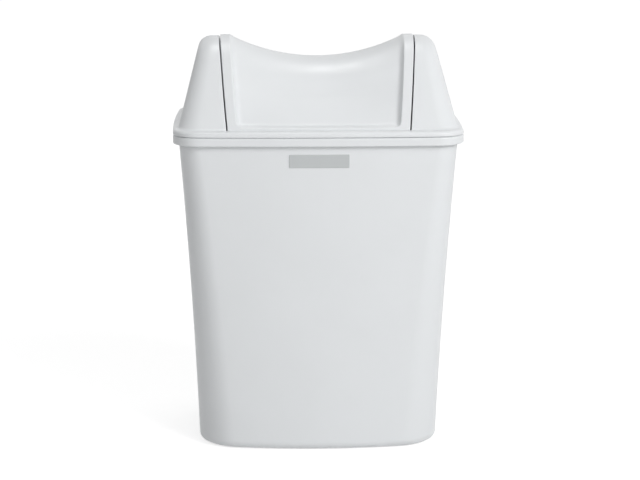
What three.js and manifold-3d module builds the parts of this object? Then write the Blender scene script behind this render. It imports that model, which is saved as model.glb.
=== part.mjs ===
// Washroom hygiene bin: a tapered tub, a lift-off hood with two side towers, and a swing flap between them.
// Millimetres. X is the width, the front faces -Y, and Z is up from the floor under the middle of the bin.
import * as THREE from 'three';
import { mergeVertices } from 'three/addons/utils/BufferGeometryUtils.js';
import Module from 'manifold-3d';

const wasm = await Module();
wasm.setup();

// Clearances and cuts
const seatGap = 0.3;
const overrun = 4;
const weldDistance = 0.001;

// Overall height, and the part of it that the closed hood adds above the rim
const overallHeight = 341;
const hoodHeight = 75.35;

// Rim of the tub, which the hood's flange repeats
const rimHalfWidth = 120;
const rimHalfDepth = 85;
const rimCornerRadius = 21;
const rimFrontBow = 4;
const rimSideBow = 2.5;

// Tub wall, base and turned-over bead
const tubWall = 2.2;
const beadOverhang = 4.2;
const beadHeight = 7.2;
const beadWall = 2.2;
const beadWebThickness = 2.4;
const beadEdgeRadius = 1.5;
const beadFootRadius = 2;
const sideTaper = 15.1;
const frontTaper = 6.3;
const sideSag = 1.6;
const baseCornerRadius = 30;
const baseFrontBow = 10.5;
const baseSideBow = 2;
const baseEdgeRadius = 8;
const baseLift = 0.6;
const baseRingWidth = 8;
const baseRecess = 2;
const baseThickness = 2.6;
const floorFilletRadius = 6;

// Non-slip pads under the base
const padRadius = 8;
const padChamfer = 0.5;
const padInset = 6;

// Ring that holds the bag
const ringHeight = 12;
const ringWall = 2;
const ringLipWidth = 5;
const ringDrop = 9.2;

// Plate under the rim
const plateWidth = 48.8;
const plateHeight = 10.85;
const plateThickness = 0.8;
const plateCornerRadius = 0.5;
const plateTopDrop = 14.45;

// Hood: flange, skirt and skin
const hoodWall = 2.2;
const flangeThickness = 4.3;
const flangeEdgeRadius = 2.6;
const flangeWebThickness = 2;
const skirtWall = 2;
const skirtDepth = 7;
const skirtClearance = 0.4;
const flangeSideLand = 5.6;
const flangeFrontLand = 11.5;
const hoodFootBow = 2;
const hoodFootCornerRadius = 17;
const hoodTopCornerRadius = 12;
const hoodFootFillet = 1.8;
const towerSideLeanShare = 0.2528;
const towerShoulderRadius = 12;
const largestCornerShare = 0.9;
const lastTiltShare = 0.06;

// Crest of the hood and the flap
const crestRadius = 45;
const flapStandProud = 0.8;
const saddleDepth = 18;
const flapBorderWidth = 10;

// Seams between the flap and the towers. From foot to hub they flare outwards.
const pivotDrop = 25;
const towerFootWidth = 40.1;
const seamShoulderFlare = 4.7;
const seamHubFlare = 6.9;
const seamHubRadius = 25;
const seamShoulderRadius = 36.5;
const seamGap = 2;
const flapEdgeTrim = 0.6;
const flapFrontGap = 1.2;
const cheekWall = 2.2;

// Flap
const flapWall = 2.2;
const flapLipDepth = 7;
const recessDepth = 3.5;
const recessWallWidth = 5;
const recessFootHeight = 3.4;
const recessCornerRadius = 8;
const sideReturnDepth = 16;
const flapEarRadius = 14;
const flapBossRadius = 7.5;
const flapBossLength = 10;

// Pivot pins, bushes and the pegs that stop the flap
const pinRadius = 4;
const pinHeadRadius = 6.5;
const pinHeadThickness = 2;
const pinGrip = 7.5;
const bushRadius = 6;
const bushFlangeRadius = 8.5;
const bushTail = 1.5;
const stopPegRadius = 4;
const stopPegRise = 8.2;
const stopPegReach = 8.6;

// Fineness of the facets
const cornerSteps = 6;
const frontEdgeSteps = 8;
const sideEdgeSteps = 4;
const crestSteps = 9;
const filletSteps = 3;
const wallSteps = 8;
const roundSteps = 24;
const barrelSteps = 72;
const saddleSteps = 7;
const recessWallSteps = 9;

// Sizes that follow
const quarterTurn = Math.PI / 2;
const rimTopHeight = overallHeight - hoodHeight;
const baseHalfWidth = rimHalfWidth - beadOverhang - sideTaper;
const baseHalfDepth = rimHalfDepth - beadOverhang - frontTaper;
const hoodBottom = rimTopHeight + seatGap;
const flangeTop = hoodBottom + flangeThickness;
const hoodFootHalfWidth = rimHalfWidth - flangeSideLand;
const hoodFootHalfDepth = rimHalfDepth - flangeFrontLand;
const pivotHeight = overallHeight - pivotDrop;
const crestCentre = overallHeight - crestRadius;
const footPoint = { depth: hoodFootHalfDepth, height: flangeTop };
const flapReach = Math.hypot(hoodFootHalfDepth, pivotHeight - flangeTop) - flapEdgeTrim;
const seamFootHalfWidth = hoodFootHalfWidth - towerFootWidth;
const seamShoulderHalfWidth = seamFootHalfWidth + seamShoulderFlare;
const seamHubHalfWidth = seamFootHalfWidth + seamHubFlare;
const saddleChordHalf = seamHubHalfWidth - flapBorderWidth;
const saddleRadius = (saddleChordHalf ** 2 + saddleDepth ** 2) / (2 * saddleDepth);
const stopPegDrop = pivotHeight - flangeTop - stopPegRise;
const cheekHubFace = seamHubHalfWidth + seamGap / 2;
const flapHubFace = seamHubHalfWidth - seamGap / 2;
const bushFlangeInner = flapHubFace + seatGap;
const bushFlangeOuter = cheekHubFace - seatGap;
const bushEnd = cheekHubFace + cheekWall + bushTail;
const pinTip = flapHubFace - pinGrip;

const rimPlan = {
  halfWidth: rimHalfWidth,
  halfDepth: rimHalfDepth,
  corner: rimCornerRadius,
  frontBow: rimFrontBow,
  sideBow: rimSideBow,
};
const basePlan = {
  halfWidth: baseHalfWidth,
  halfDepth: baseHalfDepth,
  corner: baseCornerRadius,
  frontBow: baseFrontBow,
  sideBow: baseSideBow,
};

// Plan outlines

function insetPlan(plan, inset) {
  return {
    halfWidth: plan.halfWidth - inset,
    halfDepth: plan.halfDepth - inset,
    corner: plan.corner - inset,
    frontBow: plan.frontBow,
    sideBow: plan.sideBow,
  };
}

function mixPlans(low, high, share) {
  const mixed = {};
  for (const key of Object.keys(low)) {
    mixed[key] = THREE.MathUtils.lerp(low[key], high[key], share);
  }
  return mixed;
}

// One ring of points round a plan: corner arcs and the edges between them, then bowed outwards at mid face
function planRing(plan, height) {
  const flatX = plan.halfWidth - plan.corner;
  const flatY = plan.halfDepth - plan.corner;
  const signs = [[1, 1], [-1, 1], [-1, -1], [1, -1]];
  const cornerPoint = (index, angle) => {
    const [signX, signY] = signs[index % signs.length];
    return [signX * flatX + plan.corner * Math.cos(angle), signY * flatY + plan.corner * Math.sin(angle)];
  };
  const outline = [];
  signs.forEach((_, index) => {
    const startAngle = index * quarterTurn;
    for (let step = 0; step <= cornerSteps; step++) {
      outline.push(cornerPoint(index, startAngle + (step / cornerSteps) * quarterTurn));
    }
    const from = outline.at(-1);
    const to = cornerPoint(index + 1, startAngle + quarterTurn);
    const edgeSteps = index % 2 === 0 ? frontEdgeSteps : sideEdgeSteps;
    for (let step = 1; step < edgeSteps; step++) {
      const share = step / edgeSteps;
      outline.push(from.map((value, axis) => THREE.MathUtils.lerp(value, to[axis], share)));
    }
  });
  return outline.map(([x, y]) => {
    const sideShare = (y / plan.halfDepth) ** 2;
    const frontShare = (x / plan.halfWidth) ** 2;
    const bowedX = x * (1 - (plan.sideBow / plan.halfWidth) * sideShare);
    const bowedY = y * (1 - (plan.frontBow / plan.halfDepth) * frontShare);
    return [bowedX, bowedY, height];
  });
}

// Closed bodies

// Rings of equal count are joined one to the next. The ends are capped, or the last ring joins the first.
function loft(rings, { loop = false } = {}) {
  const count = rings[0].length;
  const positions = rings.flat(2);
  const indices = [];
  const bands = loop ? rings.length : rings.length - 1;
  for (let band = 0; band < bands; band++) {
    const low = band * count;
    const high = ((band + 1) % rings.length) * count;
    for (let i = 0; i < count; i++) {
      const next = (i + 1) % count;
      indices.push(low + i, low + next, high + next);
      indices.push(low + i, high + next, high + i);
    }
  }
  if (!loop) {
    const addCap = (ring, start, flipped) => {
      const addShare = (sum, point) => sum.map((value, axis) => value + point[axis] / count);
      const centre = ring.reduce(addShare, [0, 0, 0]);
      const centreIndex = positions.length / 3;
      positions.push(...centre);
      for (let i = 0; i < count; i++) {
        const next = (i + 1) % count;
        indices.push(centreIndex, start + (flipped ? next : i), start + (flipped ? i : next));
      }
    };
    addCap(rings[0], 0, true);
    addCap(rings.at(-1), (rings.length - 1) * count, false);
  }
  const geometry = new THREE.BufferGeometry();
  geometry.setAttribute('position', new THREE.Float32BufferAttribute(positions, 3));
  geometry.setIndex(indices);
  return geometry;
}

function solidOf(geometry) {
  const bare = geometry.clone();
  bare.deleteAttribute('normal');
  bare.deleteAttribute('uv');
  const merged = mergeVertices(bare, weldDistance);
  return new wasm.Manifold(new wasm.Mesh({
    numProp: 3,
    vertProperties: merged.attributes.position.array,
    triVerts: new Uint32Array(merged.index.array),
  }));
}

function geometryOf(solid) {
  const { vertProperties, triVerts } = solid.getMesh();
  const geometry = new THREE.BufferGeometry();
  geometry.setAttribute('position', new THREE.BufferAttribute(vertProperties, 3));
  geometry.setIndex(new THREE.BufferAttribute(triVerts, 1));
  geometry.computeVertexNormals();
  return geometry;
}

// A body turned about the pivot axis. The profile holds pairs of radius and place along X.
function turnedAboutPivot(profile, steps) {
  const points = profile.map(([radius, along]) => new THREE.Vector2(radius, along));
  const geometry = new THREE.LatheGeometry(points, steps);
  geometry.rotateZ(-quarterTurn);
  geometry.translate(0, 0, pivotHeight);
  return geometry;
}

// A plain cylinder along X between two places, at a given drop below the pivot
function crossRod(radius, fromX, toX, drop = 0) {
  const geometry = new THREE.CylinderGeometry(radius, radius, toX - fromX, roundSteps);
  geometry.rotateZ(-quarterTurn);
  geometry.translate((fromX + toX) / 2, 0, pivotHeight - drop);
  return solidOf(geometry);
}

// Places along X from an inner to an outer distance, on the left where the side is negative
function spanOnSide(side, inner, outer) {
  return side < 0 ? [-outer, -inner] : [inner, outer];
}

function addOnBothSides(solid, makePiece) {
  return [-1, 1].reduce((whole, side) => whole.add(makePiece(side)), solid);
}

// Quarter circle of given radius as pairs of run and rise, both from 0 to the radius
function quarterArc(radius) {
  const arc = [];
  for (let step = 0; step <= filletSteps; step++) {
    const angle = (step / filletSteps) * quarterTurn;
    arc.push({ run: radius * (1 - Math.cos(angle)), rise: radius * Math.sin(angle) });
  }
  return arc;
}

// Tub

const wallTopPlan = insetPlan(rimPlan, beadOverhang);

// Plan of the tub's outer wall at a height above the floor. The sides sag inwards at mid height.
function wallPlan(height) {
  const share = (height - baseLift) / (rimTopHeight - baseLift);
  const plan = mixPlans(basePlan, wallTopPlan, share);
  return { ...plan, halfWidth: plan.halfWidth - 4 * sideSag * share * (1 - share) };
}

function tubRing(height, inset) {
  return planRing(insetPlan(wallPlan(height), inset), height);
}

// Rings up or down the wall between two heights, without the two ends
function wallRings(fromHeight, toHeight, inset) {
  const rings = [];
  for (let step = 1; step < wallSteps; step++) {
    rings.push(tubRing(THREE.MathUtils.lerp(fromHeight, toHeight, step / wallSteps), inset));
  }
  return rings;
}

function makeTub() {
  const ringInset = baseEdgeRadius + baseRingWidth;
  const underside = baseLift + baseRecess;
  const floorHeight = underside + baseThickness;
  const webUnderside = rimTopHeight - beadWebThickness;
  const beadBottom = rimTopHeight - beadHeight;
  const rings = [tubRing(underside, ringInset + baseRecess), tubRing(baseLift, ringInset)];
  for (const { run, rise } of quarterArc(baseEdgeRadius)) {
    rings.push(tubRing(baseLift + run, baseEdgeRadius - rise));
  }
  rings.push(...wallRings(baseLift + baseEdgeRadius, webUnderside, 0));
  rings.push(tubRing(webUnderside, 0));
  const innerOverhang = beadOverhang - beadWall;
  rings.push(tubRing(webUnderside, -innerOverhang));
  rings.push(tubRing(beadBottom, -innerOverhang));
  for (const { run, rise } of quarterArc(beadFootRadius)) {
    rings.push(planRing(insetPlan(rimPlan, beadFootRadius - rise), beadBottom + run));
  }
  for (const { run, rise } of quarterArc(beadEdgeRadius)) {
    rings.push(planRing(insetPlan(rimPlan, run), rimTopHeight - beadEdgeRadius + rise));
  }
  const filletTop = floorHeight + floorFilletRadius;
  rings.push(tubRing(rimTopHeight, tubWall));
  rings.push(...wallRings(rimTopHeight, filletTop, tubWall));
  for (const { run, rise } of quarterArc(floorFilletRadius)) {
    rings.push(tubRing(filletTop - rise, tubWall + run));
  }
  return loft(rings);
}

// Non-slip pad: a chamfered disc that fills the recess under the base
function makePad() {
  const height = baseLift + baseRecess - seatGap;
  const profile = [
    [0, 0],
    [padRadius - padChamfer, 0],
    [padRadius, padChamfer],
    [padRadius, height],
    [0, height],
  ];
  return new THREE.LatheGeometry(profile.map(([radius, z]) => new THREE.Vector2(radius, z)), roundSteps);
}

// Bag ring: an upright band with a lip turned inwards at its top, wedged in the tub's mouth
function makeBagRing() {
  const top = rimTopHeight - ringDrop;
  const bottom = top - ringHeight;
  const outer = tubWall + seatGap;
  const rings = [
    tubRing(bottom, outer),
    tubRing(top, outer),
    tubRing(top, outer + ringLipWidth),
    tubRing(top - ringWall, outer + ringLipWidth),
    tubRing(top - ringWall, outer + ringWall),
    tubRing(bottom, outer + ringWall),
  ];
  return loft(rings, { loop: true });
}

// Plate: a thin slab with softened corners
function makePlate() {
  const halfWidth = plateWidth / 2 - plateCornerRadius;
  const halfHeight = plateHeight / 2 - plateCornerRadius;
  const shape = new THREE.Shape();
  shape.absarc(halfWidth, halfHeight, plateCornerRadius, 0, quarterTurn);
  shape.absarc(-halfWidth, halfHeight, plateCornerRadius, quarterTurn, 2 * quarterTurn);
  shape.absarc(-halfWidth, -halfHeight, plateCornerRadius, 2 * quarterTurn, 3 * quarterTurn);
  shape.absarc(halfWidth, -halfHeight, plateCornerRadius, 3 * quarterTurn, 4 * quarterTurn);
  const geometry = new THREE.ExtrudeGeometry(shape, {
    depth: plateThickness,
    bevelEnabled: false,
    curveSegments: filletSteps,
  });
  geometry.rotateX(quarterTurn);
  return geometry;
}

// Side profile that the hood and the flap share

// Tilt from upright of the normal of the slope that leaves a foot point and touches the crest circle
function slopeTilt(foot, centreHeight, radius) {
  const rise = foot.height - centreHeight;
  return Math.asin(radius / Math.hypot(foot.depth, rise)) - Math.atan2(rise, foot.depth);
}

// Half depth of the slope at a height, for a crest circle of the given radius and slope tilt
function slopeDepth(height, centreHeight, radius, tilt) {
  return (radius - (height - centreHeight) * Math.cos(tilt)) / Math.sin(tilt);
}

// Hood

const towerRadius = crestRadius - flapStandProud;
const towerTilt = slopeTilt(footPoint, crestCentre, towerRadius);
const towerTop = crestCentre + towerRadius;

// Half width of the tower's side at a height, with the shoulder rounded into the flat top
function towerHalfWidth(height, inset) {
  const leanAngle = Math.atan(towerSideLeanShare);
  const radius = towerShoulderRadius - inset;
  const centreHeight = towerTop - towerShoulderRadius;
  const slantFoot = hoodFootHalfWidth - inset / Math.cos(leanAngle);
  const slantAt = (z) => slantFoot - towerSideLeanShare * (z - flangeTop);
  const centreX = slantAt(centreHeight) - radius / Math.cos(leanAngle);
  if (height <= centreHeight + radius * Math.sin(leanAngle)) {
    return slantAt(height);
  }
  return centreX + Math.sqrt(Math.max(radius ** 2 - (height - centreHeight) ** 2, 0));
}

function skinPlan(height, inset) {
  const radius = towerRadius - inset;
  const tangentHeight = crestCentre + radius * Math.cos(towerTilt);
  const rise = height - crestCentre;
  const halfDepth = height > tangentHeight
    ? Math.sqrt(Math.max(radius ** 2 - rise ** 2, 0))
    : slopeDepth(height, crestCentre, radius, towerTilt);
  const share = THREE.MathUtils.clamp((height - flangeTop) / (towerTop - flangeTop), 0, 1);
  const corner = THREE.MathUtils.lerp(hoodFootCornerRadius, hoodTopCornerRadius, share) - inset;
  return {
    halfWidth: towerHalfWidth(height, inset),
    halfDepth,
    corner: Math.min(corner, halfDepth * largestCornerShare),
    frontBow: hoodFootBow * (1 - share),
    sideBow: 0,
  };
}

// Rings up the towers' skin, from a start height to just under the crest
function skinRings(startHeight, inset) {
  const radius = towerRadius - inset;
  const rings = [planRing(skinPlan(startHeight, inset), startHeight)];
  for (let step = 0; step <= crestSteps; step++) {
    const tilt = THREE.MathUtils.lerp(towerTilt, towerTilt * lastTiltShare, step / crestSteps);
    const height = crestCentre + radius * Math.cos(tilt);
    rings.push(planRing(skinPlan(height, inset), height));
  }
  return rings;
}

function hoodBlock() {
  const rings = [planRing(rimPlan, hoodBottom)];
  for (const { run, rise } of quarterArc(flangeEdgeRadius)) {
    rings.push(planRing(insetPlan(rimPlan, run), flangeTop - flangeEdgeRadius + rise));
  }
  const filletTop = flangeTop + hoodFootFillet;
  for (const { run, rise } of quarterArc(hoodFootFillet).slice(0, -1)) {
    const height = flangeTop + run;
    rings.push(planRing(insetPlan(skinPlan(height, 0), rise - hoodFootFillet), height));
  }
  return solidOf(loft([...rings, ...skinRings(filletTop, 0)]));
}

// Block of the skirt that drops into the tub's mouth
function skirtPlan(height, inset) {
  return insetPlan(wallPlan(height), tubWall + skirtClearance + inset);
}

function skirtBlock() {
  const bottom = hoodBottom - skirtDepth;
  const top = hoodBottom + flangeWebThickness;
  return solidOf(loft([
    planRing(skirtPlan(bottom, 0), bottom),
    planRing(skirtPlan(top, 0), top),
  ]));
}

function hoodCavity() {
  const bottom = hoodBottom - skirtDepth - overrun;
  const ledge = hoodBottom + flangeWebThickness;
  const rings = [
    planRing(skirtPlan(bottom, skirtWall), bottom),
    planRing(skirtPlan(ledge, skirtWall), ledge),
  ];
  return solidOf(loft([...rings, ...skinRings(flangeTop, hoodWall)]));
}

// Barrel round the pivot axis that the flap turns in. Its ends flare towards the pivot, as the seams do.
function seamBarrel(reach, sideShift) {
  const hub = seamHubHalfWidth + sideShift;
  const shoulder = seamShoulderHalfWidth + sideShift;
  const foot = seamFootHalfWidth + sideShift;
  const end = [[0, hub], [seamHubRadius, hub], [seamShoulderRadius, shoulder], [reach, foot]];
  const start = end.map(([radius, along]) => [radius, -along]);
  return solidOf(turnedAboutPivot([...start, ...end.reverse()], barrelSteps));
}

function makeHood() {
  const block = hoodBlock().add(skirtBlock());
  const slotReach = flapReach + flapFrontGap;
  const slot = seamBarrel(slotReach, seamGap / 2);
  const cheeks = block.intersect(seamBarrel(slotReach + cheekWall, seamGap / 2 + cheekWall));
  let hood = block.subtract(hoodCavity()).add(cheeks).subtract(slot);
  const pegSpan = [cheekHubFace - stopPegReach, cheekHubFace + cheekWall / 2];
  const peg = (side) => crossRod(stopPegRadius, ...spanOnSide(side, ...pegSpan), stopPegDrop);
  hood = addOnBothSides(hood, peg);
  const boreEnd = cheekHubFace + cheekWall + overrun;
  const bore = crossRod(bushRadius + seatGap, -boreEnd, boreEnd);
  return geometryOf(hood.subtract(bore));
}

// Flap

// Height of the flap's crest at a place along X: flat borders, and a saddle between them
function crestHeight(x) {
  if (Math.abs(x) >= saddleChordHalf) {
    return overallHeight;
  }
  const saddleFloor = overallHeight - saddleDepth;
  return saddleFloor + saddleRadius - Math.sqrt(saddleRadius ** 2 - x ** 2);
}

// How much of its full depth the recess has at a place along X
function recessShare(x) {
  return THREE.MathUtils.smoothstep(saddleChordHalf - Math.abs(x), 0, recessWallWidth);
}

// Rise of the recess's lower edge near its rounded lower corners
function recessFootRise(x) {
  const intoCorner = recessCornerRadius - (saddleChordHalf - Math.abs(x));
  if (intoCorner <= 0) {
    return 0;
  }
  return recessCornerRadius - Math.sqrt(Math.max(recessCornerRadius ** 2 - intoCorner ** 2, 0));
}

// Section of the flap at a place along X, from its rear lower edge over the crest to the front one
function flapSection(x, inset, withRecess) {
  const radius = crestRadius - inset;
  const bottom = flangeTop - flapLipDepth - (inset > 0 ? overrun : 0);
  const borderTilt = slopeTilt(footPoint, crestCentre, crestRadius);
  const bow = hoodFootBow * (x / hoodFootHalfWidth) ** 2;
  const borderDepth = (height) => slopeDepth(height, crestCentre, radius, borderTilt) - bow;
  const sunk = withRecess ? recessDepth * recessShare(x) : 0;
  const edgeRise = recessFootHeight + (withRecess ? recessFootRise(x) : 0);
  const edgeHeight = flangeTop + edgeRise - inset * Math.cos(borderTilt);
  const foot = {
    depth: borderDepth(edgeHeight) - recessDepth * Math.cos(borderTilt) - sunk * Math.sin(borderTilt),
    height: edgeHeight + recessDepth * Math.sin(borderTilt) - sunk * Math.cos(borderTilt),
  };
  const centre = (withRecess ? crestHeight(x) : overallHeight) - crestRadius;
  const tilt = slopeTilt(foot, centre, radius);
  const half = [
    [borderDepth(bottom), bottom],
    [borderDepth(edgeHeight), edgeHeight],
    [foot.depth, foot.height],
  ];
  for (let step = 0; step < crestSteps; step++) {
    const angle = tilt * (1 - step / crestSteps);
    half.push([radius * Math.sin(angle), centre + radius * Math.cos(angle)]);
  }
  const rear = half.map(([depth, height]) => [x, depth, height]);
  const front = half.toReversed().map(([depth, height]) => [x, -depth, height]);
  return [...rear, [x, 0, centre + radius], ...front];
}

// Places along X where the flap's section is taken: close together on the recess walls
function flapStations(halfWidth) {
  const wallStart = saddleChordHalf - recessCornerRadius;
  const half = [];
  for (let step = 0; step < saddleSteps; step++) {
    half.push((step / saddleSteps) * wallStart);
  }
  for (let step = 0; step <= recessWallSteps; step++) {
    half.push(wallStart + (step / recessWallSteps) * recessCornerRadius);
  }
  half.push(halfWidth);
  const negative = half.slice(1).toReversed().map((x) => -x);
  return [...negative, ...half];
}

function flapBlock(halfWidth, inset) {
  return solidOf(loft(flapStations(halfWidth).map((x) => flapSection(x, inset, true))));
}

// Window that leaves only a narrow return at the flap's side, and the ear round the pivot
function sideWindow(side) {
  const ends = spanOnSide(side, seamFootHalfWidth - overrun, seamHubHalfWidth + overrun);
  const core = solidOf(loft(ends.map((x) => flapSection(x, sideReturnDepth, false))));
  return core.subtract(crossRod(flapEarRadius, -seamHubHalfWidth - overrun, seamHubHalfWidth + overrun));
}

function makeFlap() {
  const outerHalf = seamHubHalfWidth + overrun;
  const outer = flapBlock(outerHalf, 0).intersect(seamBarrel(flapReach, -seamGap / 2));
  const innerBarrel = seamBarrel(flapReach - flapWall, -seamGap / 2 - flapWall);
  const inner = flapBlock(outerHalf, flapWall).intersect(innerBarrel);
  let flap = outer.subtract(inner);
  flap = flap.subtract(sideWindow(-1)).subtract(sideWindow(1));
  const bossInner = flapHubFace - flapBossLength;
  const boreSpan = [pinTip - seatGap, flapHubFace + overrun];
  const boss = (side) => crossRod(flapBossRadius, ...spanOnSide(side, bossInner, flapHubFace));
  const bore = (side) => crossRod(pinRadius + seatGap, ...spanOnSide(side, ...boreSpan));
  flap = addOnBothSides(flap, boss);
  return geometryOf(flap.subtract(bore(-1)).subtract(bore(1)));
}

// Pivot hardware, modelled for the right side and turned round for the left

function makeBush() {
  const bore = pinRadius + seatGap;
  return turnedAboutPivot([
    [bore, bushFlangeInner],
    [bushFlangeRadius, bushFlangeInner],
    [bushFlangeRadius, bushFlangeOuter],
    [bushRadius, bushFlangeOuter],
    [bushRadius, bushEnd],
    [bore, bushEnd],
    [bore, bushFlangeInner],
  ], roundSteps);
}

function makePin() {
  const headInner = bushEnd + seatGap;
  return turnedAboutPivot([
    [0, pinTip],
    [pinRadius, pinTip],
    [pinRadius, headInner],
    [pinHeadRadius, headInner],
    [pinHeadRadius, headInner + pinHeadThickness],
    [0, headInner + pinHeadThickness],
  ], roundSteps);
}

// Materials and assembly

function plastic(color, roughness) {
  return new THREE.MeshStandardMaterial({ color, roughness, metalness: 0 });
}

const shellFinish = () => plastic(0xe6e8e9, 0.42);
const labelFinish = () => plastic(0xc3c5c6, 0.5);
const hardwareFinish = () => plastic(0xf0efe9, 0.35);
const ringFinish = () => plastic(0xd4d7d8, 0.5);
const padFinish = () => plastic(0x4a4c4e, 0.85);

function addMesh(parent, name, geometry, material) {
  const mesh = new THREE.Mesh(geometry, material);
  mesh.name = name;
  parent.add(mesh);
  return mesh;
}

function addPads(parent) {
  const reachX = baseHalfWidth - baseCornerRadius - padInset;
  const reachY = baseHalfDepth - baseCornerRadius - padInset;
  for (const [row, signY] of [['front', -1], ['rear', 1]]) {
    for (const [side, signX] of [['left', -1], ['right', 1]]) {
      const pad = addMesh(parent, `foot_pad_${row}_${side}`, makePad(), padFinish());
      pad.rotation.x = quarterTurn;
      pad.position.set(signX * reachX, signY * reachY, 0);
    }
  }
}

function addPlate(parent) {
  const top = rimTopHeight - plateTopDrop;
  const middle = top - plateHeight / 2;
  const faceDepth = wallPlan(middle).halfDepth;
  const draft = Math.atan2(wallPlan(top).halfDepth - wallPlan(top - plateHeight).halfDepth, plateHeight);
  const plate = addMesh(parent, 'label_plate', makePlate(), labelFinish());
  plate.rotation.x = draft;
  plate.position.set(0, -(faceDepth + seatGap / Math.cos(draft)), middle);
}

function addPivots(parent) {
  for (const [side, turn] of [['right', 0], ['left', 2 * quarterTurn]]) {
    const bush = addMesh(parent, `pivot_bush_${side}`, makeBush(), hardwareFinish());
    const pin = addMesh(parent, `pivot_pin_${side}`, makePin(), hardwareFinish());
    bush.rotation.z = turn;
    pin.rotation.z = turn;
  }
}

const bin = new THREE.Group();
addMesh(bin, 'bin_body', makeTub(), shellFinish());
addPads(bin);
addPlate(bin);
addMesh(bin, 'bag_ring', makeBagRing(), ringFinish());
addMesh(bin, 'hood_shell', makeHood(), shellFinish());
addMesh(bin, 'flap_shell', makeFlap(), shellFinish());
addPivots(bin);

export default bin;
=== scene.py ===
"""Washroom hygiene bin: a tapered tub, a lift-off hood with two side towers, and a swing flap between them.

Metres. X is the width, the front faces -Y, and Z is up from the floor under the middle of the bin.
"""
import logging
import math
from collections.abc import Callable, Sequence
from dataclasses import dataclass, field, replace
from enum import Enum

import bmesh
import bpy
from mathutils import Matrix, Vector


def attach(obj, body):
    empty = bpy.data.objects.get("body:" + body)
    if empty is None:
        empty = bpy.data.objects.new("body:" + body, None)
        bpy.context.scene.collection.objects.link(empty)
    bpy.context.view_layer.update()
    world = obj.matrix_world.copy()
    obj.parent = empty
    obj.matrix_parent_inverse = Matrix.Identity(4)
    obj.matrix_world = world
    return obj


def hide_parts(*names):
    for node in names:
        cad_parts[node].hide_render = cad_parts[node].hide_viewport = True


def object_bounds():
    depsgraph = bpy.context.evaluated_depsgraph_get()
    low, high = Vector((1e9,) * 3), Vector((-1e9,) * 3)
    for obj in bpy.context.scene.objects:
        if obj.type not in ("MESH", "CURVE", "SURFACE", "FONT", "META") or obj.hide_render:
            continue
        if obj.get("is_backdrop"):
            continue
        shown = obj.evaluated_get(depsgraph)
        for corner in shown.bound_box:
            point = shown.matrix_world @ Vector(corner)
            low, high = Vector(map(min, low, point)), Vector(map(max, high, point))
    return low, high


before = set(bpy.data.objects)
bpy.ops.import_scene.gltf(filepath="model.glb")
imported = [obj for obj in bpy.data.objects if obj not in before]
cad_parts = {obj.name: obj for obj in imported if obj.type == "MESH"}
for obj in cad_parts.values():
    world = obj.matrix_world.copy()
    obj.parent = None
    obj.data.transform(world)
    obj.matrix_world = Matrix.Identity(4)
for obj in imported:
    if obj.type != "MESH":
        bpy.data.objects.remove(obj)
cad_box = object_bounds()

log = logging.getLogger("hygiene_bin")

MM = 0.001
QUARTER_TURN = math.pi / 2
ROUND_FACETS = 48
STATION = "station"
WEAR = "edge_wear"
WHITE = (1.0, 1.0, 1.0, 1.0)

Point = tuple[float, float]
Ring = list[Vector]
Colour = tuple[float, float, float]
Value = float | tuple[float, ...] | bpy.types.NodeSocket


class Side(Enum):
    """A side of the bin, seen from the front."""

    LEFT = -1
    RIGHT = 1


class Row(Enum):
    """A row of foot pads, seen from the front."""

    FRONT = -1
    REAR = 1


class Ends(Enum):
    """How a drawn skin ends."""

    CAPPED = "capped"
    JOINED = "joined"


def mix(low: float, high: float, share: float) -> float:
    """Return the value that lies at a share of the way from low to high."""
    return low + (high - low) * share


def mix_points(first: Point, second: Point, share: float) -> Point:
    """Return the point that lies at a share of the way from one point to another."""
    return mix(first[0], second[0], share), mix(first[1], second[1], share)


def eased(share: float) -> float:
    """Return a share held between 0 and 1, with a soft start and end."""
    held = min(max(share, 0.0), 1.0)
    return held * held * (3 - 2 * held)


def steps(count: int) -> list[float]:
    """Return the shares from 0 to 1 in equal steps."""
    return [step / count for step in range(count + 1)]


def quarter_arc(radius: float, count: int) -> list[Point]:
    """Return a quarter circle as pairs of run and rise, both from 0 to the radius.

    Args:
        radius: the radius of the arc.
        count: the number of steps.

    Returns:
        Pairs that start upwards and end sideways.
    """
    angles = [share * QUARTER_TURN for share in steps(count)]
    return [(radius * (1 - math.cos(angle)), radius * math.sin(angle)) for angle in angles]


def outward_normals(line: Sequence[Point]) -> list[Point]:
    """Return the outward normals of a line of depths and heights.

    Args:
        line: the line, which rises from an upright foot to a level top.

    Returns:
        A depth and a height for each of its points.
    """
    normals = []
    for index, _ in enumerate(line):
        before = line[max(index - 1, 0)]
        after = line[min(index + 1, len(line) - 1)]
        run = after[0] - before[0]
        rise = after[1] - before[1]
        length = math.hypot(run, rise)
        normals.append((rise / length, -run / length))
    normals[0] = (1.0, 0.0)
    normals[-1] = (0.0, 1.0)
    return normals


def slope_tilt(foot: Point, centre: float, radius: float) -> float:
    """Return the tilt of a slope that leaves a foot point and touches the crest's circle.

    Args:
        foot: the foot's depth and height.
        centre: the height of the circle's centre.
        radius: the circle's radius.

    Returns:
        The angle between the slope's normal and upright.
    """
    rise = foot[1] - centre
    return math.asin(radius / math.hypot(foot[0], rise)) - math.atan2(rise, foot[0])


@dataclass(frozen=True)
class Fineness:
    """How many steps the corners and edges of a ring have."""

    corner: int = 16
    front: int = 36
    side: int = 24


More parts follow.
